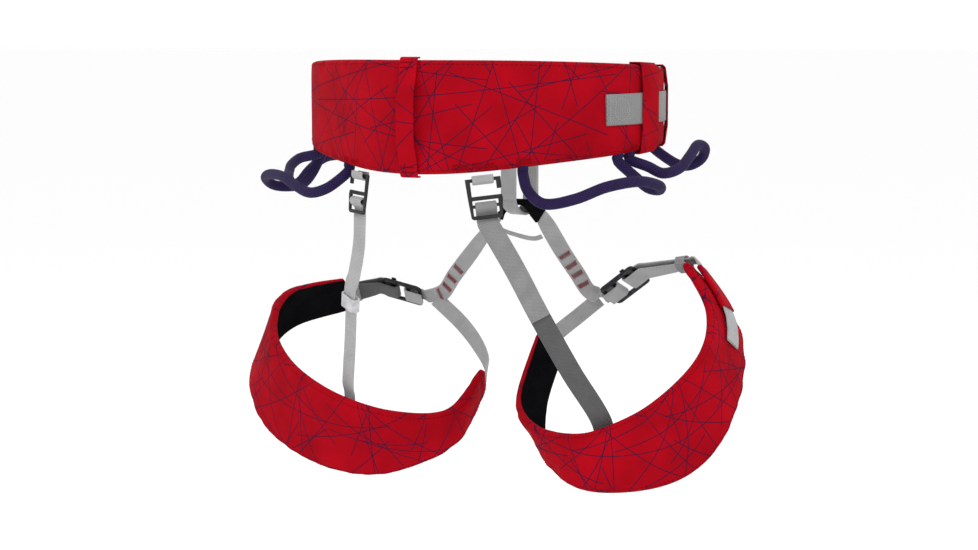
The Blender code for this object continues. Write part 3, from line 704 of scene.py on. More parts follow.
def dashes(points, outs, length=2.4, gap=1.0, lift=0.12, tree=None):
    """Short stitches along a polyline, their ends sunk into the cloth."""
    travelled = lengths_along(points)

    def at(distance):
        k = 0
        while k < len(points) - 2 and travelled[k + 1] < distance:
            k += 1
        t = (distance - travelled[k]) / max(1e-6, travelled[k + 1] - travelled[k])
        return points[k].lerp(points[k + 1], t), outs[k]

    paths = []
    lifts = (-0.25, lift, lift, -0.25)
    start = 0.6
    while start + length < travelled[-1]:
        path = []
        for part, lifted in zip((0.0, 0.2, 0.8, 1.0), lifts):
            place, out = at(start + length * part)
            path.append(place if tree else place + out * lifted * MM)
        paths.append(settle(path, tree, lifts) if tree else path)
        start += length + gap
    return paths


# ---- pads ----
def pad_section(half, thick, fine):
    """(height, inset) round a pad: crowned faces and rolled edges."""
    r = thick * 0.42
    flat = half - r
    places = []
    for sign, inset in ((1, 0.0), (-1, thick)):
        places += [((-flat + 2 * flat * i / fine) * sign, inset) for i in range(fine + 1)]
        places += [((flat + r * sin(a)) * sign, thick / 2 - (thick / 2) * cos(a) * sign)
                   for a in (0.5, 1.0, 1.571, 2.14, 2.64)]
    return places


def swell(thing, pinned, cap, frames=20):
    """Inflate a pad a little with a cloth simulation and keep the result in its mesh."""
    rest = [v.co.copy() for v in thing.data.vertices]
    group = thing.vertex_groups.new(name="sewn")
    group.add(pinned, 1.0, "REPLACE")
    cloth = thing.modifiers.new("swell", "CLOTH")
    assign(cloth.settings, vertex_group_mass="sewn", use_pressure=True,
           uniform_pressure_force=4.0, quality=4, shrink_min=-0.04, tension_stiffness=20,
           compression_stiffness=10, bending_stiffness=0.3)
    cloth.settings.effector_weights.gravity = 0.0
    cloth.collision_settings.use_collision = False
    assign(cloth.point_cache, frame_start=1, frame_end=frames)
    scene = bpy.context.scene
    for number in range(1, frames + 1):
        scene.frame_set(number)
    graph = bpy.context.evaluated_depsgraph_get()
    result = thing.evaluated_get(graph).to_mesh()
    moved = [v.co.copy() for v in result.vertices]
    thing.evaluated_get(graph).to_mesh_clear()
    thing.modifiers.remove(cloth)
    scene.frame_set(1)
    limit = cap * MM
    for vertex, before, after in zip(thing.data.vertices, rest, moved):
        step = after - before
        if step.length > limit:
            step *= limit / step.length
        vertex.co = before + step


def make_pad(prefix, stations, thick, fine, start_in, cap, nodes):
    """A whole pad, cover outside and lining inside, crowned, swollen and lightly creased."""
    us = run_lengths(stations)
    rings = []
    vs = []
    for s, u in zip(stations, us):
        end = min(u, us[-1] - u)
        tuck = 1.0 - 0.35 * exp(-(end / 5.0) ** 2)
        section = pad_section(s.width / 2 - 0.2, thick - start_in, fine)
        ring = []
        for h, inset in section:
            inset = thick / 2 + (inset + start_in - thick / 2 - start_in / 2) * tuck
            ring.append(s.at(h, -inset))
        rings.append(ring)
        vs.append([h if i <= fine + 5 else h + 200 for i, (h, _) in enumerate(section)])
    mesh = weave_mesh("fine_" + prefix, rings, us, vs)
    thing = piece("fine_" + prefix, mesh, "red_fabric", nodes[0], second="black_lining")
    around = len(rings[0])
    inner = range(fine + 5, 2 * fine + 9)
    for polygon in mesh.polygons:
        places = [index % around for index in polygon.vertices]
        if len(places) == 4 and all(place in inner for place in places):
            polygon.material_index = 1
    edges = set(range(fine + 2, fine + 5)) | set(range(around - 4, around - 1))
    count = len(mesh.vertices)
    pinned = [i for i in range(count)
              if i % around in edges or i < 2 * around or i >= count - 2 * around]
    swell(thing, pinned, cap)
    mesh.update()
    for i, vertex in enumerate(mesh.vertices):
        row, place = divmod(i, around)
        if place in edges:
            continue
        s = stations[row]
        outer = place <= fine
        h = vs[0][place] if outer else 0.0
        near_edge = exp(-((s.width / 2 - abs(h)) / 6.0) ** 2) if outer else 0.3
        pucker = noise.noise(Vector((us[row] / 4.5, h / 30.0, 3.0))) * 0.5 * near_edge
        roll = noise.noise(Vector((us[row] / 26.0, h / 22.0, 9.0))) * 0.55
        vertex.co += s.out * (1 if outer else -1) * min(0.0, pucker + roll - 0.15) * MM
    assign(thing.modifiers.new("fine", "SUBSURF"), levels=1, render_levels=1)
    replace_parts(thing, *nodes)


def edge_stitches(prefix, stations, inset_v, look_name, node):
    """A row of stitches along each long edge of a pad's outer face, and across its ends."""
    tree = surface_of("fine_" + prefix)
    paths = []
    for sign in (1, -1):
        points = [s.at(sign * (s.width / 2 - inset_v), 0.5) for s in stations[1:-1]]
        paths += dashes(points, [s.out for s in stations[1:-1]], tree=tree)
    for s in (stations[2], stations[-3]):
        half = s.width / 2 - inset_v
        points = [s.at(-half + 2 * half * i / 8, 0.5) for i in range(9)]
        paths += dashes(points, [s.out] * 9, tree=tree)
    sewn("stitches_" + prefix, paths, 0.2, look_name, node)


# ---- waist buckle and webbing ----
BUCKLE_ANGLE = 159.5


class BuckleSizes:
    """A slide-block buckle: a slotted frame, and a block that slides over its window."""

    def __init__(self, half_long, web_wide):
        self.half_long = half_long
        self.half_web = web_wide / 2
        self.rail_in = self.half_web + 1.4
        self.half_wide = self.rail_in + 3.2
        self.bar = 2.4
        self.thick = 2.4
        self.turn = 2.9
        self.middle = -0.33 * half_long
        self.block_turn = 0.36 * half_long


def rounded_box(u0, u1, v0, v1, corner, arc=2):
    points = []
    for cu, cv, start in ((u1 - corner, v1 - corner, 0), (u0 + corner, v1 - corner, 90),
                          (u0 + corner, v0 + corner, 180), (u1 - corner, v0 + corner, 270)):
        for i in range(arc + 1):
            a = radians(start + 90 * i / arc)
            points.append((cu + corner * cos(a), cv + corner * sin(a)))
    return points


def make_buckle(prefix, frame_, size, look_name):
    end = size.half_long
    outline = rounded_box(-end, end, -size.half_wide, size.half_wide, 3.0)
    half_bar = size.bar / 2
    holes = [rounded_box(start, stop, -size.rail_in, size.rail_in, 1.0, 1)
             for start, stop in ((-end + size.bar, size.middle - half_bar),
                                 (size.middle + half_bar, end - size.bar))]
    plate(prefix + "_frame", outline, holes, size.thick, frame_, look_name)
    w = size.rail_in - GAP
    s = size.half_web + GAP
    top = size.thick / 2 + GAP
    h = 0.9
    lug = size.half_wide + 0.6
    profile = [(-lug, top + 1.3), (-lug, top), (-w, top), (-w, -h), (w, -h), (w, top),
               (lug, top), (lug, top + 1.3), (s, top + 1.3), (s, h), (-s, h), (-s, top + 1.3)]
    start = size.block_turn - 0.6
    bm = bmesh.new()
    skin(bm, [[frame_.at(u, v, n) for v, n in profile] for u in (start, start + 3.8)])
    solid_piece(prefix + "_slider", bm, look_name, 0.35)


def fixed_loop_places(size, reach):
    """The sewn end of a strap: in on top, round the middle bar and back underneath."""
    r = size.turn
    places = [(-size.half_long - reach, r * 0.55), (-size.half_long, r)]
    places += turn(size.middle, 0, r, 90, -90, 6)
    places.append((-size.half_long - 1, -r))
    return places


def adjust_places(size):
    """The free strap: in under the far bar, round the block and back out on top."""
    r = size.turn
    far = size.half_long + 2
    places = [(far, -r), ((far + size.block_turn) / 2, -r)]
    places += turn(size.block_turn, 0, r, 270, 90, 6)
    places += [((far + size.block_turn) / 2, r), (far, r)]
    return places


def make_waist_webbing():
    def web(angle, inset=WEB_INSET):
        return belt_station(angle, inset, WAIST_WEB_WIDE)

    level = belt_middle(BUCKLE_ANGLE)
    run = belt_point(BUCKLE_ANGLE - 6, WEB_INSET, level)
    run -= belt_point(BUCKLE_ANGLE + 6, WEB_INSET, level)
    frame_ = Frame(web(BUCKLE_ANGLE, WEB_INSET - 2.1).point, run, belt_out(BUCKLE_ANGLE))
    size = BuckleSizes(13.5, WAIST_WEB_WIDE)
    make_buckle("waist_buckle", frame_, size, "buckle_metal")
    main = [web(angle) for angle in belt_angles(WEB_SPLICE, -188)]
    fold = local_stations(frame_, fixed_loop_places(size, 3.0), WAIST_WEB_WIDE)
    strap("waist_webbing", aim(main + fold), WEB, "grey_webbing")
    inner = [web(angle) for angle in belt_angles(WEB_SPLICE + BELT_STEP, PAD_END)]
    around = local_stations(frame_, adjust_places(size), WAIST_WEB_WIDE)
    outer = [web(angle, TAIL_INSET - 1.2 * max(0.0, (angle - 140) / 8))
             for angle in belt_angles(PAD_END, TAIL_END)]
    strap("waist_webbing_tail", aim(inner + around + outer), WEB, "pale_webbing")


def make_belt_keepers():
    far = BELT_THICK + 0.4 + KEEPER_WALL
    near = -(GAP + WEB + 0.5) - KEEPER_WALL
    step = -0.6 - KEEPER_WALL
    tail = WAIST_WEB_WIDE / 2 + 3
    for name, (start, stop) in KEEPERS.items():
        rings = []
        for angle in belt_angles(start, stop, 2.4):
            edge = belt_half(angle) + 0.4 + KEEPER_WALL
            profile = [(0.5, edge), (far, edge), (far, -edge), (0.5, -edge),
                       (step, -edge + 2.2), (near, -tail), (near, tail), (step, edge - 2.2)]
            rings.append([belt_point(angle, inset, belt_middle(angle) + height)
                          for inset, height in profile])
        sleeve(name, rings, "red_fabric")


def make_haul_loop():
    top = belt_top(HAUL_CENTRE)
    bottom = belt_bottom(HAUL_CENTRE)
    out = belt_out(HAUL_CENTRE)
    places = ((4.0, top + 1.2), (0.6, top + 1.0), (-1.3, top - 3), (-2.4, top - 10),
              (-6.6, 16), (-6.8, 0), (-6.6, -16), (-2.4, bottom + 10),
              (-1.3, bottom + 3), (0.6, bottom - 1.0), (4.0, bottom - 1.2))
    rows = [[*(belt_point(HAUL_CENTRE, inset, height) / MM), -out.y, out.x, 0, HAUL_WIDE]
            for inset, height in places]
    strap("haul_loop", route(rows, 3.5, 6), HAUL_THICK, "red_fabric")


# ---- tie-in point and belay loop ----
def make_tie_in_loop():
    """Closed loop sewn to the front of the waist webbing, its hole upright."""
    inset = WEB_INSET - WEB / 2 - GAP - TIE_THICK / 2 - 0.6
    back = [belt_point(angle, inset, 0) / MM for angle in (175, 181, 187, 193)]
    plan = [(point.x, point.y) for point in back]
    front = plan[0][1] - 23.0
    plan += [(TIE_X + 18.5, front + 11), (TIE_X + 13.5, front + 1), (TIE_X, front),
             (TIE_X - 13, front + 4.5), (TIE_X - 17.5, front + 13)]
    rings = spline(plan, 4, closed=True)
    stations = [Station(mm(x, y, TIE_Z), UP, TIE_HIGH) for x, y in rings]
    strap("tie_in_loop", aim(stations, closed=True), TIE_THICK, "grey_webbing", closed=True)


def loop_across():
    a = radians(LOOP_TURN)
    return Vector((cos(a), -sin(a), 0))


def loop_depth():
    a = radians(LOOP_TURN)
    return Vector((-sin(a), -cos(a), 0))


def make_belay_loop():
    radius = LOOP_GAUGE / 2
    high = LOOP_TOP - LOOP_THICK / 2 - radius
    low = LOOP_BOTTOM + LOOP_THICK / 2 + radius
    places = []
    for centre, start, side in ((high, 0, -1), (low, 180, 1)):
        for i in range(10):
            a = radians(start + 180 * (i + 0.5) / 10)
            places.append((radius * cos(a), centre + radius * sin(a)))
        for part in (0.0, 0.25, 0.5, 0.75, 1.0):
            places.append((side * radius, centre + (low - high) * part * -side))
    centre = mm(*LOOP_CENTRE, 0)
    stations = [Station(centre + (loop_depth() * d + Vector((0, 0, z))) * MM,
                        loop_across(), LOOP_WIDE) for d, z in places]
    strap("belay_loop", aim(stations, closed=True), LOOP_THICK, "light_webbing", closed=True)


def make_cross_strap():
    """Thin strap that holds the two arms of the V together below the belay loop."""
    rows = [(26.5, -97, -93), (17, -96.5, -96.5), (-3, -96.5, -100.5), (-11.5, -97, -98.5)]
    stations = route([[*row, 0.1, 0.5, 1, 4.0] for row in rows], 5.0)
    strap("bridge_cross_strap", stations, 0.9, "light_webbing")


# ---- gear loops ----
GEAR_LOOPS = {
    "gear_loop_right_rear": (47, 82, [
        (-80, 75, -51), (-95, 80, -59), (-117, 78, -55), (-135, 66, -47), (-149, 43, -44),
        (-154, 18, -48), (-150, 6, -52), (-141, 5, -51), (-134, 12, -43)]),
    "gear_loop_right_front": (86.7, 117.5, [
        (-139, 1, -36), (-148, -6, -41), (-155, -20, -38), (-156, -38, -30), (-155, -56, -23),
        (-156, -68, -26), (-151, -74, -34), (-142, -72, -39), (-132, -68, -37)]),
    "gear_loop_left_rear": (-43, -93, [
        (71, 77, -48), (80, 80, -54), (95, 76, -57), (114, 64, -53), (134, 48, -48),
        (158, 26, -48), (173, 9, -52), (175, -4, -58), (168, -12, -60), (155, -14, -58),
        (142, -8, -49)]),
    "gear_loop_left_front": (-82, -117, [
        (140, 12, -36), (156, -2, -42), (170, -22, -47), (183, -42, -55), (190, -60, -61),
        (190, -71, -60), (182, -74, -50), (165, -69, -40), (142, -67, -36)]),
}


def cord_end(angle):
    return belt_point(angle, BELT_THICK / 2, belt_bottom(angle) - CORD_RADIUS - 0.5) / MM


def make_gear_loops():
    sunk = Vector((0, 0, CORD_IN_HEM))
    lie = [STRAND * 10 * i / CORD_SIDES for i in range(CORD_SIDES)]
    for name, (start, stop, between) in GEAR_LOOPS.items():
        first, last = cord_end(start), cord_end(stop)
        dense = spline([first + sunk, first, *between, last, last + sunk], 10)
        points = [mm(*row) for row in dense]
        centres = [points[at].lerp(points[at + 1], part) for at, part in even(points, 2.4)]
        ways = carried(centres, Vector((0.3, 0.4, 1)).normalized())
        rings = [cord_ring(*ways[0], -back, size) for back, size in reversed(CORD_CAP)]
        rings += [cord_ring(*way, 0, 1.0) for way in ways]
        rings += [cord_ring(*ways[-1], back, size) for back, size in CORD_CAP]
        us = lengths_along([sum(ring, Vector()) / len(ring) for ring in rings])
        mesh = weave_mesh("fine_" + name, rings, us, [lie] * len(rings))
        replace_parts(piece("fine_" + name, mesh, "purple_cord", name), name)


def cord_ring(centre, run, side, other, back, size):
    ring = []
    for k in range(CORD_SIDES):
        a = 2 * pi * k / CORD_SIDES
        spoke = side * cos(a) + other * sin(a)
        ring.append(centre + (run * back + spoke * size) * CORD_RADIUS * MM)
    return ring


# ---- risers ----
RISERS = {
    "left": [(58, 69, -95), (68, 59, -119), (74, 54, -130), (82, 43, -168), (92, 29, -203),
             (93, 25, -212), (94, 21, -236)],
    "right": [(-65, 66, -106), (-77, 52, -139), (-86, 44, -160), (-98, 35, -186),
              (-106, 23, -206), (-109, 12, -220), (-110, 8.5, -229), (-110, 9.5, -242)],
}
RISER_ANGLES = {"left": -33.0, "right": 30.5}
HOOK_ENDS = {"left": (53.5, 80, -72), "right": (-53, 84, -70)}
RISER_SPLICE = {"left": 0.40, "right": 0.38}
MIDDLE_BAR = 18.4
RISER_LOOKS = {"left": ("light_webbing", "light_webbing"),
               "right": ("grey_webbing", "dark_webbing")}


def make_riser(side):
    """Hook on its tab, upper strap round the hook's middle bar, lower strap sewn below it."""
    angle = RISER_ANGLES[side]
    bar = belt_point(angle, BELT_THICK / 2, belt_bottom(angle) - HOOK_BAR_DROP)
    frame_ = Frame(bar, mm(*HOOK_ENDS[side]) - bar, belt_out(angle))
    flip = -1 if frame_.across.x * SIGN[side] < 0 else 1
    half = HOOK_HALF
    inner = half - 3.4
    outline = [(-1.2, -half), (-1.2, half), (7.0, half), (7.0, inner), (1.2, inner),
               (1.2, -inner), (11.4, -inner), (11.4, half - 0.6), (14, half), (26.4, half - 1.5),
               (27.6, half - 3), (27.6, -half + 3), (26.4, -half + 1.5), (14, -half + 0.6)]
    holes = [[(start, -inner), (start, inner), (stop, inner), (stop, -inner)]
             for start, stop in ((14.2, 17.3), (19.5, 25.0))]
    outline, *holes = [[(u, v * flip) for u, v in loop] for loop in (outline, *holes)]
    plate(f"riser_{side}_hook", outline, holes, HOOK_THICK * 0.7, frame_, "black_plastic")
    r = 2.7
    rise = -(HOOK_BAR_DROP - 2.3)
    places = [(rise, -r), (rise / 2, -r), *turn(0, 0, r, 270, 450, 6), (rise / 2, r), (rise, r)]
    tab = aim(local_stations(frame_, places, RISER_WIDE))
    strap(f"riser_{side}_tab", tab, TAB_THICK, "light_webbing")
    r = 2.3
    m = MIDDLE_BAR
    places = [(m + 2.6, -r), *turn(m, 0, r, 270, 90, 6), (m + 0.9, r), (m + 2.2, r * 0.6),
              (m + 3.7, -0.7), (m + 5.2, -r), (m + 7.5, -2.7)]
    top = local_stations(frame_, places, RISER_WIDE)
    begin = frame_.at(m + 12, 0, -2.7) / MM
    down = route([[*point, *frame_.across, RISER_WIDE] for point in (begin, *RISERS[side])], 5.0)
    cut = round(len(down) * RISER_SPLICE[side])
    upper_look, lower_look = RISER_LOOKS[side]
    strap(f"riser_{side}_upper_strap", aim(top + down[:cut + 2]), RISER_THICK, upper_look)
    shift = -(RISER_THICK + GAP)
    flips = 1 if down[cut].out.dot(frame_.out) > 0 else -1
    strap(f"riser_{side}_lower_strap", down[cut - 1:], RISER_THICK, lower_look, shift * flips)
    if side == "left":
        sleeve_on("riser_left_adjuster", down[cut - 1:cut + 2], 1.4,
                  2 * RISER_THICK + 3 * GAP + 0.9, 1.5, "grey_plastic", shift * flips / 2)


# ---- leg loops ----
# Each row: centre of the outer face, then the direction towards its upper edge, then height.
LEG_PADS = {
    "right": [
        (-27, -79, -176, 0.73, 0.51, 0.46, 26), (-24, -46, -223, 0.63, 0.65, 0.42, 27),
        (-53, 0, -244, 0.28, 0.25, 0.93, 29), (-107, 23, -248, -0.01, -0.1, 1.0, 45),
        (-155, -8, -233, 0.5, 0.29, 0.82, 60), (-178, -48, -194, 0.36, 0.58, 0.73, 53),
        (-168, -88, -155, 0.27, 0.84, 0.46, 42), (-133, -106, -115, 0.0, 0.9, 0.43, 27)],
    "left": [
        (13, -53, -205, -0.25, 0.64, 0.73, 22), (21, -11, -238, 0.03, 0.49, 0.87, 31),
        (59, 23, -248, -0.17, 0.29, 0.94, 54), (109, 32, -240, -0.27, 0.22, 0.94, 64),
        (160, 19, -218, -0.49, 0.13, 0.86, 60), (193, -12, -188, -0.58, 0.29, 0.76, 49),
        (196, -57, -161, -0.2, 0.38, 0.9, 36), (163, -97, -152, 0.1, -0.03, 0.99, 27)],
}


def leg_stations(side):
    stations = route(LEG_PADS[side], 8.0)
    centre = mm(*[sum(row[k] for row in LEG_PADS[side]) / len(LEG_PADS[side])
                  for k in range(3)])
    middle = stations[len(stations) // 2]
    if middle.out.dot(middle.point - centre) < 0:
        for station in stations:
            station.out = -station.out
    return stations


# Buckle centre, direction towards the outer side of the thigh, direction away from the thigh.
LEG_BUCKLES = {
    "right": ((-76, -110, -134.5), (-0.8, 0.05, 0.6), (0.4, -0.62, 0.6)),
    "left": ((119, -112, -149.5), (0.95, 0.12, 0.22), (0.1, -0.66, 0.7)),
}
BRIDGES = {
    "right": [(-12, -97, -84, -0.3, -0.8, 0.5), (-19, -98, -95, -0.7, -0.5, 0.5),
              (-28, -101, -111, -0.85, -0.2, 0.5), (-38, -105, -127, -0.85, -0.1, 0.5),
              (-46, -110, -141, -0.8, 0.0, 0.6)],
    "left": [(24, -96, -84, 0.3, -0.8, 0.5), (36, -97, -97, 0.6, -0.5, 0.6),
             (51, -100, -114, 0.78, -0.1, 0.6), (68, -104, -133, 0.8, 0.0, 0.6),
             (81, -109, -148, 0.7, 0.0, 0.7)],
}
CROTCH = {
    "right": [(-46, -112, -153, 0.6, 0.3, 0.7), (-38, -105, -161, 0.6, 0.3, 0.7),
              (-31, -93, -169, 0.7, 0.4, 0.6)],
    "left": [(80, -109, -159, -0.5, -0.2, 0.6), (62, -104, -171, -0.5, -0.2, 0.6),
             (44, -94, -184, -0.5, 0.0, 0.6), (26, -76, -197, -0.4, 0.3, 0.7)],
}
TAIL_STATIONS = {"left": 8, "right": 11}
TUNNEL_STATIONS = 7
LEG_WEB_LOOKS = {"left": "dark_webbing", "right": "light_webbing"}
KEEPER_FROM = 1
KEEPER_TO = 4
TAIL_HIGH = 3.2
RIM_LIFT = 0.8
LEG_BUCKLE_SIZE = BuckleSizes(17.0, LEG_WEB_WIDE)


def make_bridge(side, frame_):
    """V strap from the lower tie-in point down to the buckle, folded over its near bar."""
    apex = Vector((*LOOP_CENTRE, APEX_Z))
    across = loop_across() * SIGN[side]
    rows = []
    for reach, drop in ((APEX_HALF_GAP, 0.0), (8.5, 0.4), (12.5, 2.5)):
        point = apex + across * reach - Vector((0, 0, drop))
        rows.append([*point, *loop_depth(), 11.0])
    rows += [[*row, BRIDGE_WIDE] for row in BRIDGES[side]]
    fold = local_stations(frame_, fixed_loop_places(LEG_BUCKLE_SIZE, 3.0), BRIDGE_WIDE)
    hint = frame_.across.copy()
    if hint.dot(Vector(rows[-1][3:6])) < 0:
        hint = -hint
        for station in fold:
            station.side = -station.side
    rows.append([*(fold[0].point / MM), *hint, BRIDGE_WIDE])
    stations = aim(route(rows, 4.0)[:-1] + fold)
    strap(f"bridge_{side}", stations, BRIDGE_THICK, "light_webbing")
    sleeve_on(f"bridge_{side}_protector", stations[:7], 1.2,
              BRIDGE_THICK + 0.9, 0.8, "black_lining")


def link(start, stop):
    """Stations of a free stretch of strap between two places, turning evenly."""
    rows = []
    for part in (0.0, 1 / 3, 2 / 3, 1.0):
        point = start.point.lerp(stop.point, part) / MM
        rows.append([*point, *start.side.lerp(stop.side, part), LEG_WEB_WIDE])
    return route(rows, 4.0)


def on_pad(pad, height, width):
    return [Station(s.at(0, height), s.side.copy(), width) for s in pad]


def make_leg_webbing(side, frame_, pad):
    """Adjusting strap: from inside the pad, round the buckle's block, back over the pad."""
    around = local_stations(frame_, adjust_places(LEG_BUCKLE_SIZE), LEG_WEB_WIDE)
    if frame_.across.dot(pad[-1].side) < 0:
        for station in around:
            station.side = -station.side
    hidden = on_pad(pad[-4:], -SLOT_MIDDLE, LEG_WEB_WIDE)
    reach = TAIL_STATIONS[side]
    outer = on_pad(pad[-reach:], TAIL_HIGH, LEG_WEB_WIDE)
    for station, drop in zip(outer[:reach - TUNNEL_STATIONS], (1.0, 0.7, 0.35, 0.1)):
        station.point -= pad[-reach].out * drop * MM
    outer[-1].point += pad[-1].out * RIM_LIFT * MM
    outer.reverse()
    inward = link(hidden[-1], around[0])
    outward = link(around[-1], outer[0])
    stations = hidden[:-1] + inward[:-1] + around + outward[1:-1] + outer
    strap(f"leg_{side}_webbing", aim(stations), LEG_WEB, LEG_WEB_LOOKS[side])
    sleeve_on(f"leg_{side}_tunnel", outer[1:TUNNEL_STATIONS], 1.8, LEG_WEB + 1.2, 0.7,
              "red_fabric")
    pairs = list(zip(inward, reversed(outward)))[KEEPER_FROM:KEEPER_TO]
    between = [Station(low.point.lerp(high.point, 0.5), low.side.copy(), LEG_WEB_WIDE)
               for low, high in pairs]
    room = max((low.point - high.point).length for low, high in pairs) / MM
    sleeve_on(f"leg_{side}_keeper", aim(between), 1.8, room + LEG_WEB + 1.2, 0.9,
              "grey_webbing")


def make_crotch_strap(side, pad):
    inside = on_pad(pad[:3], -SLOT_MIDDLE, CROTCH_WIDE)
    rows = [[*row, CROTCH_WIDE] for row in CROTCH[side]]
    rows.append([*(inside[0].point / MM), *inside[0].side, CROTCH_WIDE])
    free = route(rows, 4.0)
    first = free[0]
    step = first.point - free[1].point
    lead = [Station(first.point + step * k, first.side.copy(), CROTCH_WIDE)
            for k in CROTCH_LEAD]
    strap(f"crotch_strap_{side}", aim(lead + free[:-1] + inside), LEG_WEB, "light_webbing")


def make_leg(side):
    pad = leg_stations(side)
    stations = finer(pad, 2)
    make_pad(f"leg_{side}_pad", stations, LEG_THICK, 12, 0.7, 0.9,
             [f"leg_{side}_shell", f"leg_{side}_foam", f"leg_{side}_lining"])
    edge_stitches(f"leg_{side}_pad", stations, 2.8, "deep_thread", f"leg_{side}_shell")
    centre, along, out = LEG_BUCKLES[side]
    frame_ = Frame(mm(*centre), Vector(along), Vector(out))
    make_buckle(f"leg_{side}_buckle", frame_, LEG_BUCKLE_SIZE, "buckle_metal")
    make_bridge(side, frame_)
    make_leg_webbing(side, frame_, pad)
    make_crotch_strap(side, pad)


# ---- putting it together ----
def belt_stations():
    stations = []
    for angle in belt_angles(-PAD_END, PAD_END, 1.6):
        stations.append(belt_station(angle, 0, 2 * belt_half(angle)))
        stations[-1].out = belt_out(angle)
    return stations


BELT_TACKS = ((-33, 6), (-40, 4), (30.5, 8), (21.5, 6), (47, 6), (87, 5), (-92, 5),
              (-84, 5), (-116, 5), (116, 5))


def belt_tacks():
    """Bar tacks in red thread along the belt's lower edge, where straps and loops are held."""
    paths = []
    tree = surface_of("fine_belt_pad")
    for angle, wide in BELT_TACKS:
        out = belt_out(angle)
        run = Vector((-out.y, out.x, 0))
        for rise in (3.4, 5.8):
            s = Station(belt_point(angle, 0, belt_bottom(angle) + rise), UP, 1)
            s.out = out
            path = tack_path(s, run, wide, 0.9, 0.5, 2 * wide)
            paths.append(settle(path, tree, [0.2] * len(path)))
    sewn("belt_edge_tacks", paths, 0.24, "red_thread", "belt_shell")


def strap_tacks(name, places, half_v, thickness):
    """Bar tacks across both faces of a strap, at these parts of its length."""
    fine = STRAPS[name]
    paths = []
    for part in places:
        k = int(part * (len(fine) - 2)) + 1
        s = fine[k]
        run = (fine[min(k + 1, len(fine) - 1)].point - fine[k - 1].point).normalized()
        turned = Station(s.point, run, 1)
        turned.out = s.out
        for face in (1, -1):
            high = face * (thickness / 2 + 0.15)
            paths.append(tack_path(turned, s.side, half_v, 1.9, high, 12))
    sewn("tacks_" + name, paths, 0.3, "red_thread", name)


def nearest(lengths, goal):
    return min(range(len(lengths)), key=lambda i: abs(lengths[i] - goal))


def haul_stitches():
    fine = STRAPS["haul_loop"]
    lengths = run_lengths(fine)
    paths = []
    for goal in (7.5, 10.0, lengths[-1] - 10.0, lengths[-1] - 7.5):
        s = fine[nearest(lengths, goal)]
        out = s.out if s.out.y > 0 else -s.out
        points = [s.point + s.side * v * MM + out * (HAUL_THICK / 2) * MM
                  for v in [-6.3 + 12.6 * i / 8 for i in range(9)]]
        paths += dashes(points, [out] * 9, 1.3, 0.5, 0.22)
    sewn("stitches_haul_loop", paths, 0.32, "deep_thread", "haul_loop")


def tail_patch():
    """The folded, sewn end of the waist webbing: a round line of stitches on a pale patch."""
    fine = STRAPS["waist_webbing_tail"]
    lengths = run_lengths(fine)
    k = nearest(lengths, lengths[-1] - 13)
    s = fine[k]
    out = s.out if s.out.dot(Vector((s.point.x, s.point.y, 0))) > 0 else -s.out
    run = (fine[k + 1].point - fine[k - 1].point).normalized()
    ring = [s.point + (run * 6.4 * cos(a) + s.side * 7.6 * sin(a)
                       + out * (WEB / 2)) * MM for a in [i * pi / 20 for i in range(41)]]
    paths = dashes(ring, [out] * 41, 1.4, 0.6, 0.12)
    end = [s.point + (run * 10.5 + s.side * v + out * (WEB / 2)) * MM
           for v in [-9 + 18 * i / 10 for i in range(11)]]
    paths += dashes(end, [out] * 11, 1.4, 0.6, 0.12)
    sewn("stitches_tail", paths, 0.17, "grey_thread", "waist_webbing_tail")


def blend_straps():
    for side in SIGN:
        lower = bpy.data.objects[f"fine_riser_{side}_lower_strap"]
        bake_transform(lower)
        upper = bpy.data.objects[f"fine_riser_{side}_upper_strap"]
        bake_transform(upper)


def cross_halves():
    """The thin cross strap, in two halves that meet at its middle, one on each side."""
    whole = bpy.data.objects["fine_bridge_cross_strap"]
    fine = STRAPS["bridge_cross_strap"]
    middle = fine[len(fine) // 2].point
    for side, end in (("left", fine[0].point), ("right", fine[-1].point)):
        half = whole.copy()
        half.data = whole.data.copy()
        half.name = f"fine_cross_strap_{side}"
        bpy.context.scene.collection.objects.link(half)
        bm = bmesh.new()
        bm.from_mesh(half.data)
        bmesh.ops.bisect_plane(bm, geom=bm.verts[:] + bm.edges[:] + bm.faces[:],
                               plane_co=middle, plane_no=(SIGN[side], 0, 0), clear_inner=True)
        bm.to_mesh(half.data)
        bm.free()
        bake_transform(half)
        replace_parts(half, "bridge_cross_strap")
    bpy.data.objects.remove(whole)


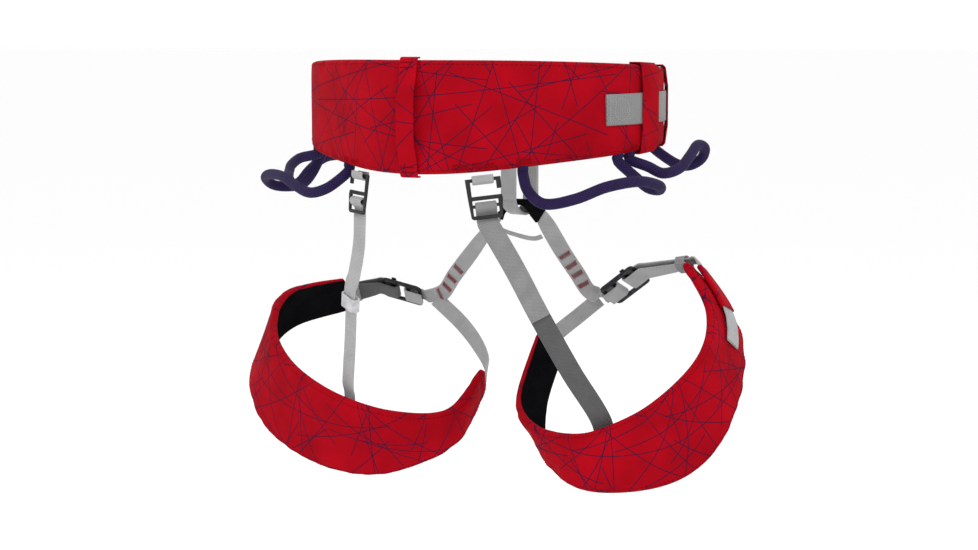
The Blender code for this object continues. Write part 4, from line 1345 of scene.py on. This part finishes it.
def studio():
    floor_bm = bmesh.new()
    bmesh.ops.create_grid(floor_bm, x_segments=1, y_segments=1, size=60.0)
    mesh = bpy.data.meshes.new("floor")
    floor_bm.to_mesh(mesh)
    floor_bm.free()
    material = bpy.data.materials.new("pale_floor")
    material.use_nodes = True
    shader = material.node_tree.nodes["Principled BSDF"]
    shader.inputs["Base Color"].default_value = (0.93, 0.93, 0.93, 1)
    shader.inputs["Roughness"].default_value = 0.9
    mesh.materials.append(material)
    floor = link_object("floor", mesh)
    floor.location.z = -0.42
    scene = bpy.context.scene
    scene.view_settings.view_transform = "Standard"
    scene.world = bpy.data.worlds.new("studio")
    scene.world.use_nodes = True
    background = scene.world.node_tree.nodes["Background"]
    background.inputs["Color"].default_value = (1, 1, 1, 1)
    background.inputs["Strength"].default_value = 1.05
    for name, spot, size, power in (
            ("key", (-0.9, 1.3, 1.5), 0.9, 11), ("rim", (1.5, 0.9, 0.7), 1.0, 3),
            ("front", (0.2, -1.6, 1.0), 1.2, 5)):
        data = bpy.data.lights.new(name, "AREA")
        assign(data, size=size, energy=power)
        light = link_object(name, data)
        light.location = spot
        way = Vector((0, 0, -0.12)) - light.location
        light.rotation_euler = way.to_track_quat("-Z", "Y").to_euler()
    lens = bpy.data.cameras.new("camera")
    assign(lens, lens=85, sensor_width=36)
    camera = link_object("camera", lens)
    a, e = (radians(angle) for angle in CAMERA_ANGLES)
    back = Vector((sin(a) * cos(e), -cos(a) * cos(e), sin(e)))
    camera.location = Vector(CAMERA_TARGET) + back * CAMERA_DISTANCE
    camera.rotation_euler = (-back).to_track_quat("-Z", "Y").to_euler()
    scene.camera = camera


def build():
    stations = belt_stations()
    make_pad("belt_pad", stations, BELT_THICK, 14, 0.9, 0.9,
             ["belt_shell", "belt_foam", "belt_lining"])
    edge_stitches("belt_pad", stations, 3.0, "deep_thread", "belt_shell")
    belt_tacks()
    make_waist_webbing()
    make_belt_keepers()
    make_haul_loop()
    make_tie_in_loop()
    make_belay_loop()
    make_cross_strap()
    make_gear_loops()
    for side in SIGN:
        make_riser(side)
        make_leg(side)
    haul_stitches()
    tail_patch()
    strap_tacks("belay_loop", (0.3, 0.33), 6.5, LOOP_THICK)
    strap_tacks("bridge_left", (0.50, 0.56, 0.62, 0.68), 4.6, BRIDGE_THICK)
    strap_tacks("bridge_right", (0.42, 0.48, 0.54, 0.60), 4.6, BRIDGE_THICK)
    blend_straps()
    cross_halves()
    studio()


build()
bpy.context.view_layer.update()
